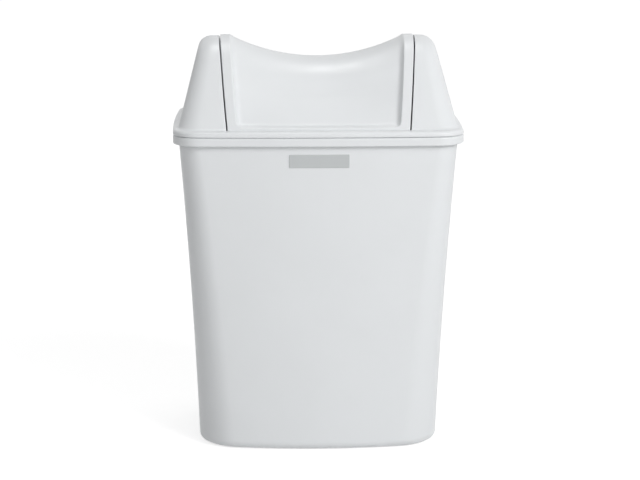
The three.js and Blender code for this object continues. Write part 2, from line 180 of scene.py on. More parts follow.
@dataclass(frozen=True)
class Plan:
    """A rounded rectangle seen from above, with faces that bow outwards at the middle."""

    half_width: float
    half_depth: float
    corner: float
    front_bow: float = 0.0
    side_bow: float = 0.0

    def inset(self, distance: float) -> "Plan":
        """Return the plan drawn in by a distance all round.

        Args:
            distance: the distance, below zero to grow.

        Returns:
            The new plan.
        """
        return replace(
            self,
            half_width=self.half_width - distance,
            half_depth=self.half_depth - distance,
            corner=max(self.corner - distance, 0.0),
        )

    def mixed(self, other: "Plan", share: float) -> "Plan":
        """Return the plan that lies at a share of the way to another one.

        Args:
            other: the other plan.
            share: the share of the way.

        Returns:
            The plan between.
        """
        return Plan(
            mix(self.half_width, other.half_width, share),
            mix(self.half_depth, other.half_depth, share),
            mix(self.corner, other.corner, share),
            mix(self.front_bow, other.front_bow, share),
            mix(self.side_bow, other.side_bow, share),
        )

    def bowed(self, x: float, y: float) -> Point:
        """Return a point of the plain rounded rectangle moved by the bows of its faces.

        Args:
            x: the point's place along the width.
            y: its place along the depth.

        Returns:
            The moved point.
        """
        side_share = (y / self.half_depth) ** 2 if self.half_depth else 0.0
        front_share = (x / self.half_width) ** 2
        bowed_x = x * (1 - self.side_bow / self.half_width * side_share)
        bowed_y = y * (1 - self.front_bow / self.half_depth * front_share) if self.half_depth else y
        return bowed_x, bowed_y

    def depth_at(self, x: float) -> float:
        """Return how far forward the outline lies at a place along its width.

        Args:
            x: the place along the width.

        Returns:
            The distance from the middle.
        """
        into_corner = abs(x) - (self.half_width - self.corner)
        flat_depth = self.half_depth
        if into_corner > 0:
            flat_depth -= self.corner - math.sqrt(max(self.corner**2 - into_corner**2, 0.0))
        return self.bowed(x, flat_depth)[1]

    def ring(self, height: float, fineness: Fineness) -> Ring:
        """Return a closed ring of points round the plan.

        Args:
            height: the height of the ring.
            fineness: how many steps its corners and edges have.

        Returns:
            Points that start at the right side and run round by the rear.
        """
        flat_x = self.half_width - self.corner
        flat_y = self.half_depth - self.corner
        centres = [(flat_x, flat_y), (-flat_x, flat_y), (-flat_x, -flat_y), (flat_x, -flat_y)]

        def on_corner(centre: Point, angle: float) -> Point:
            """Return the point of a corner's arc at an angle."""
            return centre[0] + self.corner * math.cos(angle), centre[1] + self.corner * math.sin(angle)

        outline: list[Point] = []
        for index, centre in enumerate(centres):
            start = index * QUARTER_TURN
            outline += [on_corner(centre, start + share * QUARTER_TURN) for share in steps(fineness.corner)]
            origin = outline[-1]
            goal = on_corner(centres[(index + 1) % len(centres)], start + QUARTER_TURN)
            edge_steps = fineness.front if index % 2 == 0 else fineness.side
            outline += [mix_points(origin, goal, share) for share in steps(edge_steps)[1:-1]]
        return [Vector((*self.bowed(x, y), height)) for x, y in outline]


def start_afresh() -> None:
    """Leave edit mode with nothing selected, as a new primitive needs."""
    if bpy.context.object and bpy.context.object.mode != "OBJECT":
        bpy.ops.object.mode_set(mode="OBJECT")
    bpy.ops.object.select_all(action="DESELECT")


def pick(piece: bpy.types.Object, *others: bpy.types.Object) -> None:
    """Select pieces and nothing else, with the first one active.

    Args:
        piece: the piece that becomes active.
        others: more pieces to select.
    """
    start_afresh()
    for chosen in (piece, *others):
        chosen.select_set(True)
    bpy.context.view_layer.objects.active = piece


def name_new_piece(name: str) -> bpy.types.Object:
    """Name the primitive that has just been added, and return it.

    Args:
        name: the name of the piece and of its mesh.

    Returns:
        The piece.
    """
    piece = bpy.context.object
    piece.name = name
    piece.data.name = name
    return piece


def fill_open_rims() -> None:
    """Close every open rim of the piece in edit mode with one face."""
    bpy.ops.mesh.select_mode(type="EDGE")
    bpy.ops.mesh.select_all(action="DESELECT")
    bpy.ops.mesh.select_non_manifold(
        extend=False, use_wire=False, use_boundary=True, use_multi_face=False,
        use_non_contiguous=False, use_verts=False,
    )
    bpy.ops.mesh.fill_holes(sides=0)


def weld_and_close(piece: bpy.types.Object, distance: float = 0.001 * MM) -> None:
    """Merge doubled points, close open rims and turn all faces outwards.

    Args:
        piece: the piece to finish.
        distance: points closer than this become one.
    """
    pick(piece)
    bpy.ops.object.mode_set(mode="EDIT")
    bpy.ops.mesh.select_all(action="SELECT")
    bpy.ops.mesh.remove_doubles(threshold=distance)
    bpy.ops.mesh.dissolve_degenerate(threshold=distance)
    fill_open_rims()
    bpy.ops.mesh.select_all(action="SELECT")
    bpy.ops.mesh.normals_make_consistent(inside=False)
    bpy.ops.object.mode_set(mode="OBJECT")


class DrawnSkin:
    """A skin drawn out ring by ring: a circle is extruded, and each new ring is put in its place."""

    def __init__(self, name: str, ring: Ring) -> None:
        """Start the skin.

        Args:
            name: the name of the piece.
            ring: the points of the first ring.
        """
        start_afresh()
        bpy.ops.mesh.primitive_circle_add(vertices=len(ring), radius=ring[0].length, fill_type="NOTHING")
        self.piece = name_new_piece(name)
        bpy.ops.object.mode_set(mode="EDIT")
        bpy.ops.mesh.select_mode(type="EDGE")
        mesh = bmesh.from_edit_mesh(self.piece.data)
        station = mesh.verts.layers.int.new(STATION)
        for vertex in mesh.verts:
            vertex[station] = vertex.index
        self._place(ring)

    def _place(self, ring: Ring) -> None:
        """Put the selected points on a ring, each at its own station.

        Args:
            ring: the ring.
        """
        mesh = bmesh.from_edit_mesh(self.piece.data)
        station = mesh.verts.layers.int[STATION]
        for vertex in mesh.verts:
            if vertex.select:
                vertex.co = ring[vertex[station]]
        bmesh.update_edit_mesh(self.piece.data)

    def draw(self, *rings: Ring) -> "DrawnSkin":
        """Extrude the last ring to each of the next ones, and return the skin.

        Args:
            rings: the next rings, in order.

        Returns:
            The skin itself.
        """
        for ring in rings:
            bpy.ops.mesh.extrude_edges_move()
            self._place(ring)
        return self

    def finish(self) -> bpy.types.Object:
        """Close the skin and return its piece, in object mode."""
        weld_and_close(self.leave_open())
        return self.piece

    def leave_open(self) -> bpy.types.Object:
        """Leave edit mode with the skin as it is.

        Returns:
            The piece, in object mode.
        """
        bpy.ops.object.mode_set(mode="OBJECT")
        self.piece.data.attributes.remove(self.piece.data.attributes[STATION])
        return self.piece


def drawn(name: str, rings: Sequence[Ring], ends: Ends = Ends.CAPPED) -> bpy.types.Object:
    """Draw a closed skin through rings of equal count.

    Args:
        name: the name of the piece.
        rings: the rings in order.
        ends: capped, or joined where the skin runs back to its first ring.

    Returns:
        The closed piece.
    """
    route = list(rings)
    if ends is Ends.JOINED:
        route.append(route[0])
    return DrawnSkin(name, route[0]).draw(*route[1:]).finish()


def patch(name: str, columns: int, rows: int, place: Callable[[int, int], Vector]) -> bpy.types.Object:
    """Add a grid and shape it as a sheet.

    Args:
        name: the name of the sheet.
        columns: its steps in one direction.
        rows: its steps in the other.
        place: gives the place of the point at a column and row.

    Returns:
        The open sheet.
    """
    start_afresh()
    bpy.ops.mesh.primitive_grid_add(x_subdivisions=columns, y_subdivisions=rows, size=1.0)
    piece = name_new_piece(name)
    for vertex in piece.data.vertices:
        column = round((vertex.co.x + 0.5) * columns)
        row = round((vertex.co.y + 0.5) * rows)
        vertex.co = place(column, row)
    return piece


def joined(piece: bpy.types.Object, *others: bpy.types.Object) -> bpy.types.Object:
    """Join sheets to one closed piece and return it.

    Args:
        piece: the sheet that keeps its name.
        others: the sheets that are joined to it.

    Returns:
        The closed piece.
    """
    pick(piece, *others)
    bpy.ops.object.join()
    weld_and_close(piece, distance=0.002 * MM)
    return piece


def smoothed(piece: bpy.types.Object, degrees: float = 32.0) -> bpy.types.Object:
    """Shade a piece smooth, with edges sharper than an angle kept, and return it.

    Args:
        piece: the piece.
        degrees: the angle.

    Returns:
        The same piece.
    """
    pick(piece)
    bpy.ops.object.shade_smooth_by_angle(angle=math.radians(degrees))
    return piece


def round_edges(piece: bpy.types.Object, width: float, segments: int) -> None:
    """Bevel the sharp edges of the active piece.

    Args:
        piece: the piece, which is active.
        width: the bevel's width.
        segments: its steps.
    """
    rounding = piece.modifiers.new("edge", "BEVEL")
    rounding.width = width
    rounding.segments = segments
    rounding.limit_method = "ANGLE"
    bpy.ops.object.modifier_apply(modifier=rounding.name)


class Cut(Enum):
    """What a boolean modifier does."""

    ADD = "UNION"
    TAKE = "DIFFERENCE"


def combine(piece: bpy.types.Object, tool: bpy.types.Object, cut: Cut) -> None:
    """Add a solid to a piece or take it away, and delete the tool solid.

    Args:
        piece: the piece that is changed.
        tool: the solid that is added or taken away.
        cut: which of the two.
    """
    pick(piece)
    modifier = piece.modifiers.new("combine", "BOOLEAN")
    modifier.operation = cut.value
    modifier.solver = "MANIFOLD"
    modifier.object = tool
    bpy.ops.object.modifier_apply(modifier=modifier.name)
    bpy.data.objects.remove(tool, do_unlink=True)


@dataclass(frozen=True)
class Pivot:
    """The axis that the flap turns about, along X."""

    height: float
    hub_half_width: float
    shoulder_half_width: float
    foot_half_width: float
    hub_radius: float = 25 * MM
    shoulder_radius: float = 36.5 * MM
    kink_softness: float = 6 * MM

    def radius_at(self, depth: float, height: float) -> float:
        """Return the distance from the axis."""
        return math.hypot(depth, height - self.height)

    def seam_half_width(self, radius: float, reach: float) -> float:
        """Return how far out the middle of the seam lies at a distance from the axis.

        Args:
            radius: the distance from the axis.
            reach: the distance at which the seam ends, at the flap's foot.

        Returns:
            The half width between the two seams.
        """
        hub_run = self.shoulder_radius - self.hub_radius
        foot_run = reach - self.shoulder_radius
        hub_slope = (self.hub_half_width - self.shoulder_half_width) / hub_run
        foot_slope = (self.shoulder_half_width - self.foot_half_width) / foot_run
        past_hub = self._softened(radius - self.hub_radius)
        past_shoulder = self._softened(radius - self.shoulder_radius)
        return self.hub_half_width - hub_slope * past_hub + (hub_slope - foot_slope) * past_shoulder

    def _softened(self, run: float) -> float:
        """Return a ramp that starts at zero, with its kink rounded.

        Args:
            run: the distance past the kink.

        Returns:
            The ramp's value.
        """
        if run <= -self.kink_softness:
            return 0.0
        if run >= self.kink_softness:
            return run
        return (run + self.kink_softness) ** 2 / (4 * self.kink_softness)


@dataclass(frozen=True)
class BinSizes:
    """The driving sizes that the sub-assemblies share."""

    overall_height: float = 341 * MM
    hood_height: float = 75.35 * MM
    seat_gap: float = 0.3 * MM
    rim: Plan = Plan(
        half_width=120 * MM, half_depth=85 * MM, corner=21 * MM, front_bow=4 * MM, side_bow=2.5 * MM
    )
    base: Plan = Plan(
        half_width=100.7 * MM, half_depth=74.5 * MM, corner=30 * MM, front_bow=10.5 * MM, side_bow=2 * MM
    )
    base_lift: float = 0.6 * MM
    bead_overhang: float = 4.2 * MM
    side_sag: float = 1.6 * MM
    tub_wall: float = 2.2 * MM
    base_recess: float = 2 * MM
    cheek_wall: float = 2.2 * MM
    pin_grip: float = 7.5 * MM
    flange_thickness: float = 4.3 * MM
    flange_side_land: float = 5.6 * MM
    flange_front_land: float = 11.5 * MM
    crest_radius: float = 45 * MM
    flap_stand_proud: float = 0.8 * MM
    pivot_drop: float = 25 * MM
    tower_foot_width: float = 40.1 * MM
    shoulder_flare: float = 4.7 * MM
    hub_flare: float = 6.9 * MM
    seam_gap: float = 1.1 * MM
    flap_edge_trim: float = 0.1 * MM
    flap_front_gap: float = 0.14 * MM
    hood_foot_bow: float = 2 * MM
    fineness: Fineness = Fineness()

    @property
    def rim_top(self) -> float:
        """Height of the tub's rim."""
        return self.overall_height - self.hood_height

    @property
    def hood_bottom(self) -> float:
        """Height of the flange's underside."""
        return self.rim_top + self.seat_gap

    @property
    def flange_top(self) -> float:
        """Height of the flange's upper face."""
        return self.hood_bottom + self.flange_thickness

    @property
    def foot_half_width(self) -> float:
        """Half width of the towers' foot."""
        return self.rim.half_width - self.flange_side_land

    @property
    def foot_half_depth(self) -> float:
        """Half depth of the towers' foot."""
        return self.rim.half_depth - self.flange_front_land

    @property
    def crest_centre(self) -> float:
        """Height of the centre of the crest's curve."""
        return self.overall_height - self.crest_radius

    @property
    def pivot(self) -> Pivot:
        """The flap's axis and the flare of the seams."""
        foot = self.foot_half_width - self.tower_foot_width
        return Pivot(
            height=self.overall_height - self.pivot_drop,
            hub_half_width=foot + self.hub_flare,
            shoulder_half_width=foot + self.shoulder_flare,
            foot_half_width=foot,
        )

    @property
    def flap_reach(self) -> float:
        """How far the flap's lip reaches from its axis."""
        rise = self.pivot.height - self.flange_top
        return math.hypot(self.foot_half_depth, rise) - self.flap_edge_trim

    def wall_plan(self, height: float) -> Plan:
        """Return the plan of the tub's outer wall at a height. The sides sag inwards at mid height.

        Args:
            height: the height.

        Returns:
            The plan.
        """
        share = (height - self.base_lift) / (self.rim_top - self.base_lift)
        plan = self.base.mixed(self.rim.inset(self.bead_overhang), share)
        return replace(plan, half_width=plan.half_width - 4 * self.side_sag * share * (1 - share))

    def wall_ring(self, height: float, inset: float) -> Ring:
        """Return a ring of the tub's wall at a height, drawn in by an inset."""
        return self.wall_plan(height).inset(inset).ring(height, self.fineness)

    def rim_ring(self, height: float, inset: float) -> Ring:
        """Return a ring of the rim's outline at a height, drawn in by an inset."""
        return self.rim.inset(inset).ring(height, self.fineness)

    def seam(self, depth: float, height: float) -> float:
        """Return the half width of the seam's middle at a place in the side view."""
        return self.pivot.seam_half_width(self.pivot.radius_at(depth, height), self.flap_reach)


DISC_RING_SHARES = (0.03, *steps(10)[1:])


def side_disc(
    name: str, outline: Sequence[Point], sizes: BinSizes, side: Side, shift: float, hub: float
) -> bpy.types.Object:
    """Draw the upright face beside a seam, ring by ring from its outline to its hub.

    Args:
        name: the name of the sheet.
        outline: depths and heights of the outline, in order round the pivot.
        sizes: the bin's sizes.
        side: the side that the face is on.
        shift: how far the face lies outside the seam's middle.
        hub: radius of the last ring, which is filled.

    Returns:
        The open sheet.
    """
    centre = sizes.pivot.height

    def ring(share: float) -> Ring:
        """Return the outline drawn in to the hub by a share.

        Args:
            share: 0 for the outline and 1 for the hub.

        Returns:
            As many points as the outline has.
        """
        points = []
        for depth, height in outline:
            scale = mix(1.0, hub / sizes.pivot.radius_at(depth, height), share)
            new_depth = depth * scale
            new_height = centre + (height - centre) * scale
            x = sizes.seam(new_depth, new_height) + shift
            points.append(Vector((side.value * x, new_depth, new_height)))
        return points

    skin = DrawnSkin(name, ring(0.0)).draw(*[ring(share) for share in DISC_RING_SHARES])
    bpy.ops.mesh.edge_face_add()
    return skin.leave_open()


def bottom_line(start: float, end: float, height: float, count: int = 24) -> list[Point]:
    """Return the points between two depths at one height, without the ends."""
    return [(mix(start, end, share), height) for share in steps(count)[1:-1]]


def cross_rod(
    name: str, sizes: BinSizes, side: Side, radius: float, inner: float, outer: float, drop: float = 0.0
) -> bpy.types.Object:
    """Add a rod along X at one side of the bin.

    Args:
        name: the name of the rod.
        sizes: the bin's sizes.
        side: the side that the rod is on.
        radius: its radius.
        inner: how far out it starts.
        outer: how far out it ends.
        drop: how far its axis lies below the pivot.

    Returns:
        The closed solid.
    """
    start_afresh()
    bpy.ops.mesh.primitive_cylinder_add(
        vertices=ROUND_FACETS,
        radius=radius,
        depth=outer - inner,
        location=(side.value * (inner + outer) / 2, 0.0, sizes.pivot.height - drop),
        rotation=(0.0, QUARTER_TURN, 0.0),
    )
    rod = name_new_piece(name)
    bpy.ops.object.transform_apply(location=True, rotation=True, scale=True)
    return rod


@dataclass
class Tub:
    """The tapered tub with its turned-over rim."""

    sizes: BinSizes
    bead_height: float = 7.2 * MM
    bead_wall: float = 2.2 * MM
    bead_web: float = 2.4 * MM
    bead_edge: float = 1.5 * MM
    bead_foot: float = 1.1 * MM
    base_edge: float = 7 * MM
    base_ring: float = 9 * MM
    base_thickness: float = 2.6 * MM
    floor_fillet: float = 6 * MM
    inner_edge: float = 0.8 * MM
    edge_support: float = 0.5 * MM
    wall_bands: int = 24
    base_edge_steps: int = 10
    bead_inner_steps: int = 3
    bead_steps: int = 6
    inner_edge_steps: int = 4
    fillet_steps: int = 8

    def outside(self) -> list[Ring]:
        """Work out the outside, from the recess under the base up to the bead.

        Returns:
            The rings in order.
        """
        ring = self.sizes.wall_ring
        lift = self.sizes.base_lift
        recess = self.sizes.base_recess
        web_underside = self.sizes.rim_top - self.bead_web
        ring_inset = self.base_edge + self.base_ring
        rings = [
            ring(lift + recess, ring_inset + recess + self.edge_support),
            ring(lift + recess, ring_inset + recess),
            ring(lift, ring_inset),
            ring(lift, self.base_edge + self.edge_support),
        ]
        for run, rise in quarter_arc(self.base_edge, self.base_edge_steps):
            rings.append(ring(lift + run, self.base_edge - rise))
        wall_start = lift + self.base_edge + self.edge_support
        for share in steps(self.wall_bands):
            rings.append(ring(mix(wall_start, web_underside, share), 0.0))
        return rings

    def bead(self) -> list[Ring]:
        """Work out the turned-over bead, from its web's underside to the tub's mouth.

        Returns:
            The rings in order.
        """
        ring = self.sizes.wall_ring
        rim_ring = self.sizes.rim_ring
        top = self.sizes.rim_top
        web_underside = top - self.bead_web
        bottom = top - self.bead_height
        overhang = self.sizes.bead_overhang - self.bead_wall
        inner_foot = self.bead_wall - self.bead_foot
        rings = [
            ring(web_underside, -overhang + self.edge_support),
            ring(web_underside, -overhang),
            ring(web_underside - self.edge_support, -overhang),
            ring(bottom + inner_foot, -overhang),
        ]
        for run, rise in quarter_arc(inner_foot, self.bead_inner_steps)[1:]:
            rings.append(ring(bottom + inner_foot - rise, -overhang - run))
        for run, rise in reversed(quarter_arc(self.bead_foot, self.bead_steps)[:-1]):
            rings.append(rim_ring(bottom + self.bead_foot - rise, run))
        rings.append(rim_ring(bottom + self.bead_foot + self.edge_support, 0.0))
        rings.append(rim_ring(top - self.bead_edge - self.edge_support, 0.0))
        for run, rise in quarter_arc(self.bead_edge, self.bead_steps):
            rings.append(rim_ring(top - self.bead_edge + rise, run))
        rings.append(rim_ring(top, self.bead_edge + self.edge_support))
        return rings

    def inside(self) -> list[Ring]:
        """Work out the inside, from the mouth's edge down to the floor.

        Returns:
            The rings in order.
        """
        ring = self.sizes.wall_ring
        top = self.sizes.rim_top
        wall = self.sizes.tub_wall
        floor = self.sizes.base_lift + self.sizes.base_recess + self.base_thickness
        fillet_top = floor + self.floor_fillet
        wall_top = top - self.inner_edge
        rings = [ring(top, wall - self.inner_edge - self.edge_support)]
        for run, rise in reversed(quarter_arc(self.inner_edge, self.inner_edge_steps)):
            rings.append(ring(wall_top + rise, wall - run))
        rings.append(ring(wall_top - self.edge_support, wall))
        for share in steps(self.wall_bands)[1:]:
            rings.append(ring(mix(wall_top, fillet_top + self.edge_support, share), wall))
        for run, rise in quarter_arc(self.floor_fillet, self.fillet_steps):
            rings.append(ring(fillet_top - rise, wall + run))
        rings.append(ring(floor, wall + self.floor_fillet + self.edge_support))
        return rings

    def build(self) -> bpy.types.Object:
        """Draw the tub and return its piece."""
        return smoothed(drawn("tub_moulding", [*self.outside(), *self.bead(), *self.inside()]))


@dataclass
class Hood:
    """The lift-off hood: a flange with a skirt and two hollow towers."""

    sizes: BinSizes
    wall: float = 2.2 * MM
    flange_edge: float = 2.6 * MM
    flange_foot_edge: float = 0.4 * MM
    flange_web: float = 2 * MM
    skirt_wall: float = 2 * MM
    skirt_depth: float = 7 * MM
    skirt_clearance: float = 0.4 * MM
    foot_corner: float = 17 * MM
    top_corner: float = 12 * MM
    foot_fillet: float = 1.8 * MM
    side_lean: float = 0.2528
    shoulder: float = 12 * MM
    largest_corner_share: float = 0.9
    least_flat: float = 0.5 * MM
    seam_edge: float = 0.4 * MM
    throat_edge: float = 0.15 * MM
    throat_corner: float = 1 * MM
    seat_embed: float = 1 * MM
    hair: float = 0.02 * MM
    peg_radius: float = 4 * MM
    peg_rise: float = 8.2 * MM
    peg_reach: float = 8.6 * MM
    bore_radius: float = 6.3 * MM
    run_steps: int = 8
    corner_steps: int = 14
    side_steps: int = 6
    edge_steps: int = 4
    slope_steps: int = 14
    crest_steps: int = 26
    fillet_steps: int = 8
    foot_edge_steps: int = 3
    flange_edge_steps: int = 6
    throat_edge_steps: int = 4
    throat_bands: int = 4
    seam_rounds: int = 4

    @property
    def radius(self) -> float:
        """Radius of the towers' crest."""
        return self.sizes.crest_radius - self.sizes.flap_stand_proud

    @property
    def top(self) -> float:
        """Height of the towers' crest."""
        return self.sizes.crest_centre + self.radius

    @property
    def tilt(self) -> float:
        """Tilt of the towers' front and rear slopes."""
        foot = (self.sizes.foot_half_depth, self.sizes.flange_top)
        return slope_tilt(foot, self.sizes.crest_centre, self.radius)

    def half_width(self, height: float, inset: float) -> float:
        """Return the half width of the towers' sides, with the shoulder rounded into the top.

        Args:
            height: the height.
            inset: distance inside the skin.

        Returns:
            The half width.
        """
        lean = math.atan(self.side_lean)
        radius = self.shoulder - inset
        centre_height = self.top - self.shoulder
        slant_foot = self.sizes.foot_half_width - inset / math.cos(lean)

        def slant(z: float) -> float:
            """Return the half width of the leaning side."""
            return slant_foot - self.side_lean * (z - self.sizes.flange_top)

        if height <= centre_height + radius * math.sin(lean):
            return slant(height)
        centre_x = slant(centre_height) - radius / math.cos(lean)
        return centre_x + math.sqrt(max(radius**2 - (height - centre_height) ** 2, 0.0))

    def skin_plan(self, height: float, inset: float = 0.0) -> Plan:
        """Return the plan of the hood's skin at a height.

        Args:
            height: the height.
            inset: distance inside the skin.

        Returns:
            The plan.
        """
        radius = self.radius - inset
        rise = height - self.sizes.crest_centre
        if rise > radius * math.cos(self.tilt):
            half_depth = math.sqrt(max(radius**2 - rise**2, 0.0))
        else:
            half_depth = (radius - rise * math.cos(self.tilt)) / math.sin(self.tilt)
        share = (height - self.sizes.flange_top) / (self.top - self.sizes.flange_top)
        share = min(max(share, 0.0), 1.0)
        half_width = self.half_width(height, inset)
        widest = half_width - self.sizes.pivot.hub_half_width - self.sizes.seam_gap - self.least_flat
        corner = min(
            mix(self.foot_corner, self.top_corner, share) - inset,
            half_depth * self.largest_corner_share,
            widest - inset,
        )
        return Plan(half_width, half_depth, corner, self.sizes.hood_foot_bow * (1 - share))

    def skirt_plan(self, height: float, inset: float) -> Plan:
        """Return the plan of the skirt at a height."""
        plan = self.sizes.wall_plan(height)
        return plan.inset(self.sizes.tub_wall + self.skirt_clearance + inset)

    def skirt_ring(self, height: float, inset: float) -> Ring:
        """Return a ring of the skirt at a height."""
        return self.skirt_plan(height, inset).ring(height, self.sizes.fineness)

    def crest_rows(self, start: float, inset: float) -> list[tuple[float, Plan]]:
        """Return heights and plans from a start height up the slope and over the crest.

        Args:
            start: the height of the first row.
            inset: distance inside the skin.

        Returns:
            Each row's height and plan.
        """
        radius = self.radius - inset
        tangent = self.sizes.crest_centre + radius * math.cos(self.tilt)
        rows = [mix(start, tangent, share) for share in steps(self.slope_steps)]
        for share in steps(self.crest_steps)[1:]:
            rows.append(self.sizes.crest_centre + radius * math.cos(self.tilt * (1 - share)))
        return [(height, self.skin_plan(height, inset)) for height in rows]

    def tower_rows(self) -> list[tuple[float, Plan]]:
        """Work out a tower's outside, from inside the flange upwards.

        Returns:
            Each row's height and plan.
        """
        foot = self.sizes.flange_top + self.hair
        flare = self.skin_plan(foot).inset(-self.foot_fillet)
        rows = [(self.sizes.flange_top - self.seat_embed, flare)]
        for run, rise in quarter_arc(self.foot_fillet, self.fillet_steps)[:-1]:
            rows.append((foot + run, self.skin_plan(foot + run).inset(rise - self.foot_fillet)))
        return [*rows, *self.crest_rows(foot + self.foot_fillet, 0.0)]

    def hollow_rows(self) -> list[tuple[float, Plan]]:
        """Work out a tower's hollow, from below the skirt upwards.

        Returns:
            Each row's height and plan.
        """
        ledge = self.sizes.hood_bottom + self.flange_web
        bottom = self.sizes.hood_bottom - self.skirt_depth - self.wall
        rows = [(height, self.skirt_plan(height, self.skirt_wall)) for height in (bottom, ledge)]
        return [*rows, *self.crest_rows(self.sizes.flange_top, self.wall)]

    def tower_block(
        self, side: Side, rows: list[tuple[float, Plan]], shift: float, edge: float
    ) -> bpy.types.Object:
        """Build a closed tower-shaped solid from its rows.

        Args:
            side: the side that the tower is on.
            rows: heights and plans.
            shift: how far its inner face lies outside the seam's middle.
            edge: radius of the edge between the skin and the inner face.

        Returns:
            The closed solid.
        """
        starts = [self.skin_start(height, plan, shift, edge) for height, plan in rows]
        normals = outward_normals([(depth, height) for (_, depth), (height, _) in zip(starts, rows)])
        half_count = self.edge_steps + self.run_steps + self.corner_steps + self.side_steps
        halves = [
            self.half_row(row, start, normal, shift, edge)
            for row, start, normal in zip(rows, starts, normals)
        ]

        def place(column: int, row: int) -> Vector:
            """Return the place of a point of the skin. The second half mirrors the first.

            Args:
                column: the point's column.
                row: its row.

            Returns:
                The place.
            """
            mirrored = column > half_count
            x, depth, height = halves[row][2 * half_count - column if mirrored else column]
            return Vector((side.value * x, depth if mirrored else -depth, height))

        last_row = len(rows) - 1
        skin = patch("tower_skin", 2 * half_count, last_row, place)
        front = [(-half[0][1], half[0][2]) for half in halves]
        rear = [(-depth, height) for depth, height in reversed(front[:-1])]
        base = bottom_line(-front[0][0], front[0][0], front[0][1])
        outline = [*front, *rear, *base]
        face = side_disc("tower_cheek", outline, self.sizes, side, shift, self.bore_radius / 2)
        return joined(skin, face)

    def skin_start(self, height: float, plan: Plan, shift: float, edge: float) -> Point:
        """Return where the skin starts beside the seam, as a width and a depth.

        Args:
            height: the row's height.
            plan: the row's plan.
            shift: how far the inner face lies outside the seam's middle.
            edge: radius of the edge.

        Returns:
            The width and the depth.
        """
        x = self.sizes.pivot.hub_half_width + shift + edge
        for _ in range(self.seam_rounds):
            depth = plan.depth_at(x)
            x = self.sizes.seam(depth, height) + shift + edge
        return x, plan.depth_at(x)

    def half_row(
        self, row: tuple[float, Plan], start: Point, normal: Point, shift: float, edge: float
    ) -> list[tuple[float, float, float]]:
        """Return half a row of the skin, from its inner face round to the middle of its side.

        Args:
            row: the row's height and plan.
            start: where the skin starts.
            normal: the outward normal there.
            shift: how far the inner face lies outside the seam's middle.
            edge: radius of the edge.

        Returns:
            Widths, depths towards the front, and heights.
        """
        height, plan = row
        points = []
        for share in reversed(steps(self.edge_steps)[1:]):
            angle = share * QUARTER_TURN
            drop = edge * (1 - math.cos(angle))
            depth = start[1] - normal[0] * drop
            level = height - normal[1] * drop
            x = self.sizes.seam(depth, level) + shift + edge * (1 - math.sin(angle))
            points.append((x, depth, level))
        flat_x = plan.half_width - plan.corner
        for share in steps(self.run_steps)[:-1]:
            x = mix(start[0], flat_x, share)
            points.append((x, plan.depth_at(x), height))
        for share in steps(self.corner_steps):
            angle = QUARTER_TURN * (1 - share)
            x = flat_x + plan.corner * math.cos(angle)
            depth = plan.half_depth - plan.corner * (1 - math.sin(angle))
            bowed_x, bowed_depth = plan.bowed(x, depth)
            points.append((bowed_x, bowed_depth, height))
        flat_depth = points[-1][1]
        for share in steps(self.side_steps)[1:]:
            points.append((points[-1][0], flat_depth * (1 - share), height))
        return points

    def throat_ring(self, height: float, grown: float) -> Ring:
        """Return a ring round the opening between the towers.

        Args:
            height: the ring's height.
            grown: how far it lies outside the slot that the flap turns in.

        Returns:
            As many points as a ring of the flange.
        """
        reach = self.sizes.flap_reach + self.sizes.flap_front_gap
        drop = self.sizes.pivot.height - height
        half_depth = math.sqrt(reach**2 - drop**2) + grown
        shift = self.sizes.seam_gap / 2 + 2 * self.hair + grown
        hub = self.sizes.seam(0.0, height) + shift
        bow = self.sizes.hood_foot_bow * (hub / self.sizes.foot_half_width) ** 2
        ring = Plan(hub, half_depth, self.throat_corner + grown, bow).ring(height, self.sizes.fineness)
        for point in ring:
            side_x = self.sizes.seam(point.y, height) + shift
            point.x *= side_x / hub
        return ring

    def flange_rings(self) -> list[Ring]:
        """Go round the section of the flange and its skirt.

        Returns:
            The rings in order.
        """
        rim_ring = self.sizes.rim_ring
        bottom = self.sizes.hood_bottom
        top = self.sizes.flange_top
        foot = self.flange_foot_edge
        support = self.seat_embed / 2
        skirt_bottom = bottom - self.skirt_depth
        lip = self.throat_edge
        rings = [self.skirt_ring(bottom, 0.0)]
        for run, rise in reversed(quarter_arc(foot, self.foot_edge_steps)):
            rings.append(rim_ring(bottom + foot - rise, run))
        rings.append(rim_ring(top - self.flange_edge - support, 0.0))
        for run, rise in quarter_arc(self.flange_edge, self.flange_edge_steps):
            rings.append(rim_ring(top - self.flange_edge + rise, run))
        rings.append(rim_ring(top, self.flange_edge + support))
        rings.append(self.throat_ring(top, lip + support))
        for run, rise in reversed(quarter_arc(lip, self.throat_edge_steps)):
            rings.append(self.throat_ring(top - lip + rise, run))
        for share in steps(self.throat_bands)[1:]:
            rings.append(self.throat_ring(mix(top - lip, skirt_bottom, share), 0.0))
        rings.append(self.skirt_ring(skirt_bottom, 0.0))
        return rings

    def groove_rings(self) -> list[Ring]:
        """Go round the space under the flange, between the skirt and the throat's wall.

        Returns:
            The rings in order.
        """
        low = self.sizes.hood_bottom - self.skirt_depth - self.wall
        high = self.sizes.hood_bottom + self.flange_web
        outer = [self.skirt_ring(height, self.skirt_wall) for height in (low, high)]
        inner = [self.throat_ring(height, self.sizes.cheek_wall) for height in (high, low)]
        return [*outer, *inner]

